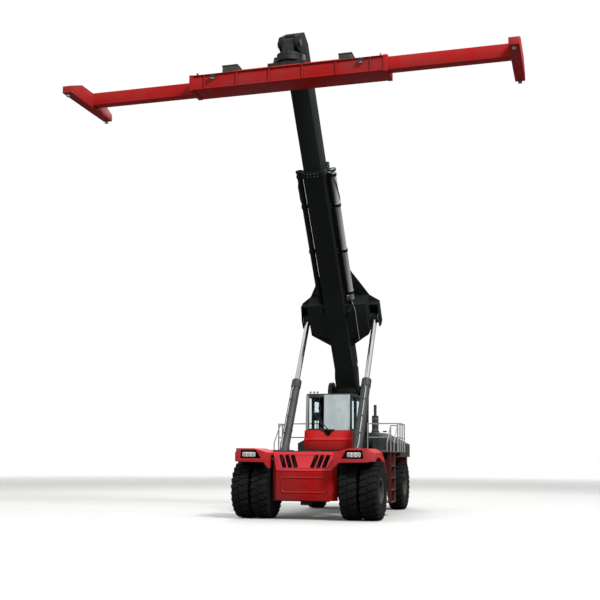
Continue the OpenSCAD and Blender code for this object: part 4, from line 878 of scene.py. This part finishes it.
def cab_inside():
    """Driver's seat, consoles with levers, wheel, pedals and display."""
    place = MACHINE @ shift((0, CAB_Y0 + 0.9, CAB_FLOOR))
    shell = Shape()
    shell.lathe([(0, 0), (0.17, 0), (0.165, 0.03), (0.12, 0.05), (0.11, 0.24), (0, 0.24)], "z", 32)
    for z in (0.06, 0.095, 0.13, 0.165, 0.2):
        shell.lathe([(0.1, z), (0.145, z + 0.015), (0.1, z + 0.03)], "z", 28)
    shell.block(-0.23, 0.23, -0.24, 0.24, 0.235, 0.275)
    shell.prism([(0.19, 0.3), (0.24, 0.3), (0.41, 0.98), (0.38, 1.0), (0.34, 0.98)], -0.2, 0.2)
    for side in (LEFT, RIGHT):
        shell.rod((side * 0.08, 0.37, 0.95), (side * 0.08, 0.39, 1.08), 0.01)
        shell.block(side * 0.24, side * 0.3, -0.06, 0.06, 0.24, 0.5)
        shell.prism([(-0.34, 0.49), (0.17, 0.5), (0.18, 0.56), (-0.3, 0.545), (-0.35, 0.52)],
            side * 0.245, side * 0.365)
    piece("seat_frame", shell, "trim_plastic", 0.006, place=place, replaces=("cab_interior",))
    cushion("seat_cushion", (0.47, 0.47, 0.075), place @ shift((0, -0.01, 0.275)))
    cushion("seat_backrest", (0.45, 0.62, 0.07), place @ tilted(0, 0.2, 0.64, 76))
    cushion("seat_headrest", (0.26, 0.17, 0.06), place @ tilted(0, 0.335, 1.13, 76), 0.02)

    levers = Shape()
    for x in (0.305, -0.305):
        levers.rod((x, -0.27, 0.54), (x, -0.285, 0.63), 0.011, 12)
        levers.lathe([(0, 0.0), (0.02, 0.0), (0.024, 0.05), (0.02, 0.085), (0, 0.095)], "z", 20,
            shift((x, -0.286, 0.625)))
        levers.lathe([(0.011, 0), (0.035, 0), (0.022, 0.03), (0.011, 0.035)], "z", 20,
            shift((x, -0.27, 0.545)))
    levers.rod((0, -0.57, 0.0), (0, -0.55, 0.12), 0.075, 20, None, 0.06)
    levers.rod((0, -0.55, 0.12), (0, -0.44, 0.66), 0.055, 20, None, 0.04)
    wheel = tilted(0, -0.425, 0.7, 14)
    rim = [(0.175 + 0.016 * math.cos(a * math.tau / 10), 0.016 * math.sin(a * math.tau / 10))
        for a in range(10)]
    levers.lathe(rim, "z", 48, wheel)
    levers.lathe([(0, -0.03), (0.035, -0.03), (0.045, 0.0), (0.03, 0.012), (0, 0.012)], "z", 24,
        wheel)
    for degrees in (90, 210, 330):
        c, s = math.cos(math.radians(degrees)), math.sin(math.radians(degrees))
        levers.rod((0.03 * c, 0.03 * s, -0.008), (0.168 * c, 0.168 * s, 0), 0.009, 10, wheel)
    for x in (-0.2, 0.16, 0.27):
        levers.prism([(-0.7, 0.02), (-0.64, 0.15), (-0.62, 0.145), (-0.68, 0.0)], x - 0.035,
            x + 0.035)
    levers.rod((-0.42, -0.62, 0.35), (-0.42, -0.62, 1.02), 0.014, 12)
    levers.rod((0.0, -0.6, 0.0), (0.0, -0.66, 0.0), 0.01)
    piece("driving_controls", levers, "trim_plastic", place=place)
    panel = Shape().prism([(-0.66, 0.78), (-0.6, 0.76), (-0.6, 1.0), (-0.64, 1.02)], -0.55, -0.29)
    piece("display_case", panel, "trim_plastic", 0.008, place=place)
    desk = Shape().prism([(2.2, 2.075), (2.21, 2.46), (2.16, 2.5), (2.14, 2.5), (2.14, 2.2)],
        -0.6, 0.6)
    piece("cab_dashboard", desk, "trim_plastic", 0.01)


def doors():
    """Seal and grab bar, each riding on its own door."""
    y0, y1, z, r = 2.9, 3.45, 2.16, 0.012
    for side, name in SIDES:
        strips, grip = Shape(), Shape()
        seal_strip(strips, (2.875, 2.39), (3.575, 3.445), side * (CAB_HALF - 0.001), 0.01, "x")
        piece(f"door_seal_{name}", strips, "hose_black", body=f"door_{name}")
        x, bar = side * (CAB_HALF - 0.004), side * (CAB_HALF + 0.045)
        grip.rod((bar, y0, z), (bar, y1, z), r, 12)
        for y in (y0, y1):
            grip.rod((x, y, z), (bar, y, z), r, 12)
        piece(f"door_rail_{name}", grip, "rail_grey", body=f"door_{name}")


# Boom and its fittings
PIPE_X, PIPE_Z = 0.5, 0.26
CLAMP_REACH = (3.5, 4.93, 6.4, 7.35)


def nut_pair(x, y, z, gap, r, h, turn):
    """Two hexagon nuts on their washers, one behind the other, standing out as turned."""
    corners = [(r * math.cos(math.tau * k / 6), r * math.sin(math.tau * k / 6)) for k in range(6)]
    nut = Shape().ring(0, r * 1.25, 0, h * 0.2, "z", 12, turn)
    nut.prism(corners, h * 0.2, h, "z", turn)
    return repeated(nut, ROW, 2, "zinc", shift((x, y, z)), Step=(0, gap, 0))


def side_hoses(name, points, radius, finish, body="chassis"):
    """The same line on the left and on the right."""
    for side, word in SIDES:
        hose(f"{name}_{word}", [(side * x, y, z) for x, y, z in points], radius, finish, body)


def boom_sections():
    """Outer section with weld runs, tapers and pad covers, hose tray, and inner section."""
    x, low, top = 0.287, -0.14, 0.66
    collar, bolt_y, tray_y = (-7.575, -7.445), -7.555, (-7.3, -0.75)
    extra = Shape()
    for y0, y1, z in ((-4.46, -7.42, low), (-0.95, -1.84, low), (-0.7, -7.42, top)):
        extra.rod((x, y0, z), (x, y1, z), 0.008, 8)
    for z in (-0.02, 0.36):
        extra.block(0.329, 0.341, *collar, z, z + 0.18)
    for z in (-0.181, 0.689):
        extra.block(0.03, 0.17, *collar, z, z + 0.012)
    extra.prism([(0.29, -1.62), (0.29, -1.9), (0.92, -2.1), (0.92, -2.05)], 0.1, 0.748, "z")
    extra.mirror()
    for y in (-6.2, -5.0):
        extra.block(-0.045, 0.045, y, y + 0.2, low - 0.012, low + 0.004)
    dress("boom_outer", 0.006, extra, 0.003, name="boom_outer_section")
    nuts = [nut_pair(side * 0.341, bolt_y, z, 0.09, 0.013, 0.014, SIDEWAYS[side])
        for side in (LEFT, RIGHT) for z in (0.01, 0.13, 0.39, 0.51)]
    nuts += [nut_pair(u, bolt_y, -0.181, 0.09, 0.011, 0.013, DOWN)
        for u in (-0.15, -0.05, 0.05, 0.15)]
    place_piece("collar_bolts", joined("collar_bolts", nuts, BOOM), "zinc", "boom")

    tray = Shape().block(-0.13, 0.13, *tray_y, top + 0.002, top + 0.008)
    for u in (-0.13, 0.122):
        tray.block(u, u + 0.008, *tray_y, top + 0.004, top + 0.075)
    for k in range(8):
        y = -0.95 - 0.88 * k
        tray.block(-0.14, 0.14, y - 0.03, y, top + 0.068, top + 0.078)
    piece("boom_hose_tray", tray, "boom_black", 0.002, "boom")
    for k, (u, r) in enumerate(((-0.085, 0.015), (-0.03, 0.019), (0.03, 0.015), (0.085, 0.019))):
        hose(f"boom_tray_hose_{k}", [(u, -0.62, top + 0.03), (u, -2.5, top + 0.033),
            (u, -5.0, top + 0.03), (u, -7.32, top + 0.034), (u * 0.9, -7.4, top + 0.036)], r,
            "hose_black", "boom")

    nose = Shape().block(-0.11, 0.11, -10.82, -10.76, 0.62, 0.66)
    dress("boom_inner", 0.006, nose, 0.002, name="boom_inner_section")
    caps = Shape().lathe([(0, 0.3), (0.095, 0.3), (0.095, 0.312), (0.085, 0.318), (0, 0.318)],
        "x", 32, shift(HEAD_PIN))
    caps.block(0.3, 0.312, -11.42, -11.18, -0.24, -0.2)
    piece("head_pin_keepers", caps.mirror(), "barrel_grey", 0.003, "boom_ext")


def boom_lines():
    """The large pipes' clamps, flanges and elbows, and the thinner lines beside them."""
    plates, flanges, studs = Shape(), Shape(), []
    for s in CLAMP_REACH:
        plates.block(0.3, 0.312, -s - 0.075, -s + 0.075, 0.18, 0.34)
        studs += [nut_pair(side * 0.312, -s - 0.055, z, 0.11, 0.01, 0.012, SIDEWAYS[side])
            for side in (LEFT, RIGHT) for z in (0.195, 0.325)]
    plates.mirror().block(0.3, 0.435, -7.4, -3.4, 0.238, 0.282)
    piece("pipe_clamp_plates", plates, "boom_black", 0.004, "boom")
    place_piece("pipe_clamp_nuts", joined("pipe_clamp_nuts", studs, BOOM), "zinc", "boom")
    flanges.ring(0.094, 0.112, 0, 0.05, "y", 28, shift((PIPE_X, -7.52, PIPE_Z)))
    flanges.lathe([(0.0, 0), (0.1, 0), (0.1, 0.03), (0.0, 0.035)], "y", 28,
        shift((PIPE_X, -3.25, PIPE_Z)))
    piece("boom_pipe_flanges", flanges.mirror(), "boom_black", body="boom")
    hose("wing_line", [(0.52, -3.22, 0.16), (0.57, -3.1, 0.11), (0.6, -2.98, 0.086),
        (0.6, -2.5, 0.086), (0.6, -1.9, 0.086)], 0.011, "pipe_grey", "boom")
    side_hoses("boom_pipe_elbow", [(0.5, -3.25, 0.26), (0.5, -3.13, 0.26), (0.5, -3.04, 0.22),
        (0.48, -3.00, 0.1), (0.45, -2.99, -0.02), (0.42, -2.96, -0.1)], 0.045, "boom_black",
        "boom")
    side_hoses("boom_clamp_hose", [(0.56, -6.3, 0.34), (0.575, -6.45, 0.3), (0.6, -6.6, 0.26),
        (0.59, -6.85, 0.22), (0.575, -7.1, 0.18), (0.5, -7.3, 0.165)], 0.016, "hose_black",
        "boom")
    side_hoses("boom_thin_pipe", [(0.33, -2.95, 0.42), (0.33, -3.6, 0.42), (0.325, -5.4, 0.42),
        (0.325, -7.38, 0.42)], 0.012, "pipe_grey", "boom")


def boom_pipes():
    """The two large pipes, as thick as in the photograph, where one is dark and one is pale."""
    back = BOOM.inverted()
    # The right pipe is given the boom's black as painted shade; the left one keeps the pale pipe
    # paint.
    for side, name, slot in ((LEFT, "left", "pipe_grey"), (RIGHT, "right", "boom_black")):
        bm = bmesh.new()
        bm.from_mesh(softened("boom_pipes", 0.003))
        bmesh.ops.delete(bm, geom=[v for v in bm.verts if v.co.x * side < 0], context="VERTS")
        axis = Vector((side * PIPE_X, 0, PIPE_Z))
        for v in bm.verts:
            p = back @ v.co
            out = Vector((p.x - axis.x, 0, p.z - axis.z))
            if 0.06 < out.length < 0.1:
                v.co = BOOM @ (p + out * 0.16 + Vector((side * 0.008, 0, 0)))
        mesh = mesh_from(bm, "boom_pipe_" + name)
        place_piece("boom_pipe_" + name, mesh, slot, "boom", ("boom_pipes",))
        mesh.materials.append(COAT["boom_black"])
        for face in mesh.polygons:
            p = back @ face.center
            if Vector((p.x - axis.x, p.z - axis.z)).length > 0.092:
                face.material_index = 1


def lift_cylinders():
    """Collars and gland bolts, ports and a pipe along each barrel, and the rods' eyes."""
    head, skin = 2.9203, 0.1352
    bolt = Shape().lathe([(0, 0), (0.014, 0), (0.014, 0.02), (0.011, 0.024), (0, 0.024)], "x", 10)
    for side, name in SIDES:
        barrel = f"lift_barrel_{name}"
        gland, port = Shape(), Shape()
        gland.lathe([(skin, 2.66), (0.15, 2.675), (0.15, 2.7195), (skin, 2.7195)], "z")
        gland.lathe([(0.137, 1.1), (0.144, 1.105), (0.144, 1.14), (0.137, 1.145)], "z")
        gland.lathe([(0.092, head), (0.125, head), (0.12, 2.938), (0.096, 2.945), (0.092, 2.945)],
            "z", 40)
        piece(f"lift_gland_{name}", gland, "barrel_grey", body=barrel)
        end = PLACES[barrel] @ shift((0, 0, head)) @ Matrix.Rotation(-math.pi / 2, 4, "Y")
        place_piece(f"gland_bolts_{name}", repeated(bolt, RING, 16, "zinc", end,
            Radius=0.128), "zinc", barrel)
        eye = Shape().lathe([(0.0, -0.1265), (0.15, -0.1265), (0.1665, -0.112), (0.1665, 0.112),
            (0.15, 0.1265), (0.0, 0.1265)], "x", 44, shift((0, 0, LIFT.length)))
        piece(f"rod_eye_{name}", eye, "boom_black", body=f"lift_rod_{name}")
        port.block(-0.055, 0.055, -0.195, -0.125, 0.26, 0.4)
        port.block(-0.045, 0.045, -0.185, -0.125, 2.6, 2.69)
        for z in (0.9, 1.5, 2.1):
            port.block(side * 0.02, side * 0.075, -0.182, -0.128, z, z + 0.05)
            port.ring(skin, 0.1385, z + 0.01, z + 0.04, "z", 40)
        piece(f"lift_ports_{name}", port, "barrel_grey", 0.004, barrel)
        line = ((0.02, 0.36), (0.048, 0.5), (0.048, 1.0), (0.048, 2.3), (0.045, 2.5), (0.01, 2.62))
        hose(f"lift_pipe_{name}", [(side * x, -0.165, z) for x, z in line], 0.015, "pipe_grey",
            barrel)


# Spreader
def spreader():
    """Main frame with ribs, walkway, lamps and lines; rounded beams; slewing gear."""
    top, low, half, wide = -0.75, -1.15, 2.75, 0.34
    ribs = Shape()
    for face in (-1, 1):
        y0, y1 = face * wide, face * (wide + 0.045)
        for k in range(6):
            x = -2.3 + 0.92 * k
            ribs.block(x - 0.01, x + 0.01, y0, y1, low, top)
        for z in (low, top - 0.014):
            ribs.block(0.12 - half, half - 0.12, y0, y1, z, z + 0.014)
        for x in (-2.55, 2.55):
            ribs.ring(0.03, 0.062, -0.012, 0.012, "x", 20, shift((x, face * 0.25, top + 0.05)))
            ribs.block(x - 0.012, x + 0.012, face * 0.2, face * 0.3, top, top + 0.03)
    dress("spreader_frame", 0.006, ribs, 0.002, name="spreader_main_frame")
    dress("spreader_beam_left", 0.007)
    dress("spreader_beam_right", 0.007)

    grate, shells, lenses, slew = Shape(), Shape(), Shape(), Shape()
    for i in range(15):
        y = -0.3 + 0.6 * i / 14
        grate.block(1.92, 2.6, y - 0.004, y + 0.004, top + 0.002, top + 0.028)
    for x in (1.92, 2.26, 2.6):
        grate.block(x - 0.012, x + 0.012, -0.305, 0.305, top + 0.002, top + 0.024)
    piece("spreader_walk_grating", grate.mirror(), "deck_plate", body="spreader")

    boxes, lids = Shape(), Shape()
    for x0, x1, y0, y1, h in ((-1.85, -1.42, -0.2, 0.22, 0.26), (1.42, 1.77, -0.24, 0.1, 0.22)):
        boxes.block(x0, x1, y0, y1, top + 0.001, top + h)
        lids.block(x0 - 0.012, x1 + 0.012, y0 - 0.012, y1 + 0.012, top + h - 0.02, top + h + 0.012)
    piece("spreader_cabinets", boxes, "side_green", 0.008, "spreader")
    piece("spreader_cabinet_lids", lids, "side_green", 0.006, "spreader")
    for face in (-1, 1):
        spot = shift((2.05, face * (wide + 0.075), top - 0.09))
        shells.prism([(-0.055, -0.05), (0.055, -0.05), (0.065, 0.05), (-0.065, 0.05)], -0.035,
            0.035, "y", spot)
        shells.block(-0.02, 0.02, -0.05 * face, -0.075 * face, -0.02, 0.05, spot)
        lenses.block(-0.048, 0.048, -0.028, 0.028, -0.056, -0.049, spot)
    piece("spreader_lamp_shells", shells.mirror(), "trim_plastic", 0.006, "spreader")
    piece("spreader_lamp_lenses", lenses.mirror(), "lamp_lens", body="spreader")
    z = top + 0.014
    for k, (y, end) in enumerate(((-0.13, -0.0975), (-0.07, -0.0525), (0.12, 0.09))):
        hose(f"spreader_line_{k}", [(-1.425, y, z + 0.001), (-1.0, y * 0.97, z), (0.0, y * 0.95, z),
            (1.0, y * 0.97, z), (1.425, end, z + 0.001)], 0.012, "hose_black", "spreader")
    slew.lathe([(0, 0), (0.085, 0), (0.085, 0.16), (0.07, 0.18), (0.07, 0.25), (0.05, 0.27),
        (0, 0.27)], "z", 28, shift((0.38, 0.02, -0.608)))
    slew.block(0.3, 0.46, -0.06, 0.1, -0.612, -0.596)
    piece("slewing_motors", slew.mirror(), "barrel_grey", 0.003, "rotator")


# Chassis, decks and rear
def chassis():
    """Frame with ribs, its side lines, and the driveline below it."""
    ribs = Shape().block(0.499, 0.545, 1.0, 3.9, 1.6, 1.614)
    for y in (1.35, 2.3, 3.2, 5.2):
        ribs.block(0.499, 0.56, y - 0.01, y + 0.01, 1.1, 1.61)
    dress("chassis_frame", 0.006, ribs.mirror(), 0.002)
    for side, name in SIDES:
        for k, z in enumerate((1.3, 1.36, 1.42)):
            line = ((0.515, 1.1, z), (0.53, 1.6, z + 0.01), (0.575, 2.3, z), (0.57, 3.3, z + 0.01),
                (0.52, 3.95, z))
            hose(f"chassis_line_{name}_{k}", [(side * x, y, h) for x, y, h in line], 0.012,
                "pipe_grey" if k else "line_black")
    housing = Shape().lathe([(0, -0.16), (0.05, -0.16), (0.07, -0.1), (0.085, 0.2), (0.05, 0.24),
        (0, 0.24)], "y", 28, shift((0, 0.62, 0.98)))
    piece("driveline_housing", housing, "axle_grey")
    shaft = Shape().rod((0, 0.8, 1.02), (0, 5.4, 1.45), 0.055, 24)
    for y, z in ((0.86, 1.026), (5.3, 1.44)):
        shaft.ring(0.055, 0.095, -0.03, 0.03, "y", 24, shift((0, y, z)))
    piece("propeller_shaft", shaft, "axle_grey")


def decks():
    """Decks with red ladders, toothed steps, rails behind the cab, lockers and fillers."""
    panel = dress("platforms", 0.004)
    panel.data.materials.append(LADDER_RED)
    for face in panel.data.polygons:
        x, y, z = face.center
        if abs(x) > 1.6 and z < 1.8 and y + ORIGIN_Y < 2.65:
            face.material_index = 1
    rails, feet, doors, catches = Shape(), Shape(), Shape(), Shape()
    rail_y, rail_top, rail_r = 3.96, 2.78, 0.019
    for z in (2.34, rail_top):
        rails.rod((1.91, rail_y, z), (0.8, rail_y, z), rail_r, 12)
    rails.rod((0.8, rail_y, DECK_TOP + 0.001), (0.8, rail_y, rail_top + rail_r), rail_r, 12)
    piece("cross_rails", rails.mirror(), "rail_grey")
    for x, y in ((1.91, 3.2), (1.91, 3.58), (1.91, 3.96), (1.91, 4.34), (1.68, 3.24), (1.68, 2.66),
            (1.89, 2.66)):
        feet.ring(0.0, 0.055, DECK_TOP + 0.0002, DECK_TOP + 0.008, "z", 20, shift((x, y, 0)))
    piece("rail_feet", feet.mirror(), "rail_grey")
    tooth = Shape().block(-0.09, 0.09, -0.003, 0.003, 0.0, 0.01)
    teeth = [repeated(tooth, ROW, 24, "deck_plate", shift((side * 1.845, 1.935, z + 0.0002)),
        Step=(0, 0.0275, 0)) for side in (LEFT, RIGHT) for z in (0.42, 0.77, 1.12, 1.47)]
    place_piece("step_teeth", joined("step_teeth", teeth, MACHINE), "deck_plate")
    doors.block(1.3002, 1.3085, 4.46, 4.96, 1.15, 1.6)
    for y0, y1 in ((4.5, 5.25), (5.33, 6.1), (6.18, 6.88)):
        doors.block(1.6302, 1.637, y0, y1, 1.8, 2.1)
    piece("side_doors", doors.mirror(), "side_green", 0.004)
    for y in (4.62, 5.12, 5.45, 5.97, 6.3, 6.76):
        catches.block(1.637, 1.653, y - 0.03, y + 0.03, 2.02, 2.06)
    catches.lathe([(0, 0), (0.065, 0), (0.065, 0.035), (0.05, 0.045), (0, 0.045)], "z", 28,
        shift((1.2, 4.75, 2.525)))
    piece("door_catches", catches.mirror(), "trim_plastic", 0.003)


def engine_bay():
    """Rear fan grille, bands round the silencer, and the cover's seams and hinges."""
    bar = Shape().block(-0.58, 0.58, -0.004, 0.004, -0.006, 0.006)
    bars = repeated(bar, ROW, 26, "trim_plastic", MACHINE @ shift((0, 6.976, 1.99)),
        Step=(0, 0, 0.0195))
    place_piece("fan_grille", bars, "trim_plastic")
    bands, seams = Shape(), Shape()
    for z in (2.62, 2.8, 2.98):
        bands.lathe([(0.109, -0.012), (0.116, -0.008), (0.116, 0.008), (0.109, 0.012)], "z", 36,
            shift((0.72, 5.53, z)))
    piece("silencer_bands", bands, "zinc")
    seams.block(0.418, 0.442, 5.3, 6.94, COVER_TOP - 0.002, COVER_TOP + 0.006)
    for y in (5.34, 6.84):
        seams.block(0.3, 0.36, y, y + 0.06, COVER_TOP, COVER_TOP + 0.03)
    piece("cover_seams", seams.mirror(), "side_green", 0.003)


# Camera, light and floor
PICTURE, FOCAL, SENSOR = 600, 984.87, 36
CENTRE_X, CENTRE_Y, PAN = 300.26, 356.96, 1.2
EYE = (7.434, -26.708, 1.739)
TO_LEFT, UPWARD, ROLL = 16.2, 5.75, 0.32
SKY_LOW, SKY_TOP = 0.1, 1.05


def camera():
    """The fitted camera; its picture size, focal length and centre are in pixels."""
    cam = linked("camera", bpy.data.cameras.new("camera"))
    cam.matrix_world = MACHINE @ shift(EYE)
    for degrees, axis in ((TO_LEFT, "Z"), (90 + UPWARD, "X"), (ROLL, "Z")):
        cam.matrix_world @= Matrix.Rotation(math.radians(degrees), 4, axis)
    cam.data.sensor_width = SENSOR
    cam.data.lens = SENSOR * FOCAL / PICTURE
    cam.data.shift_x = (PICTURE / 2 - CENTRE_X + PAN) / PICTURE
    cam.data.shift_y = (CENTRE_Y - PICTURE / 2) / PICTURE
    cam.data.clip_end = 500
    bpy.context.scene.camera = cam


def soft_lamp(name, where, aim, size, watts):
    lamp = bpy.data.lights.new(name, "AREA")
    lamp.shape, lamp.size, lamp.energy = "DISK", size, watts
    obj = linked(name, lamp)
    obj.location = where
    obj.rotation_euler = (Vector(aim) - Vector(where)).to_track_quat("-Z", "Y").to_euler()


def sky():
    """An overcast sky that looks white itself."""
    world = bpy.data.worlds.new("sky")
    bpy.context.scene.world = world
    world.use_nodes = True
    world.node_tree.nodes.clear()
    node = node_maker(world.node_tree)
    path = node("LightPath").outputs
    seen = maths(node, "MAXIMUM", path["Is Camera Ray"], path["Is Transmission Ray"])
    above = spread(node, split(node, node("NewGeometry").outputs["Position"])[2],
        -0.1, 0.75)
    overcast = scaled(node, above, SKY_TOP - SKY_LOW, SKY_LOW)
    shiny = scaled(node, above, 0.75, 0.15)
    strength = overcast
    for share, other in ((path["Is Glossy Ray"], shiny), (seen, 1.0)):
        strength = node("Mix", {0: share, 2: strength, 3: other},
            data_type="FLOAT").outputs[0]
    light = node("Background", {"Color": (1, 1, 1, 1), "Strength": strength})
    node("OutputWorld", {0: light.outputs[0]})


def floor():
    """A wide floor that fades out before its edge."""
    mat, node, where = new_finish("pale_floor")
    far = node("VectorMath", {0: where}, operation="LENGTH").outputs["Value"]
    pale = mixed(node, noise(node, where, 0.8, 6), (0.62, 0.62, 0.61, 1), (0.7, 0.7, 0.69, 1))
    seen = node("LightPath").outputs["Is Camera Ray"]
    surface(mat, node, {"Base Color": mixed(node, seen, (0.16, 0.16, 0.155, 1), pale),
        "Roughness": 0.85}, spread(node, far, 60.0, 20.0))
    mesh = mesh_of(Shape().rod((0, 0, -0.02), (0, 0, 0), 90, 64))
    mesh.materials.append(mat)
    linked("floor", mesh)


for make in (wheels, hood, lamps, sheet_metal, cab_outside, cab_inside, doors, boom_sections,
        boom_lines, boom_pipes, lift_cylinders, spreader, chassis, decks, engine_bay, camera, sky,
        floor):
    make()
soft_lamp("key", (22, -20, 30), (0, 0, 4), 9, 14000)
soft_lamp("fill", (-20, -24, 16), (0, 0, 4), 14, 1500)
soft_lamp("back", (-8, 24, 26), (0, 0, 5), 12, 2500)

bpy.context.scene.view_settings.view_transform = "Standard"
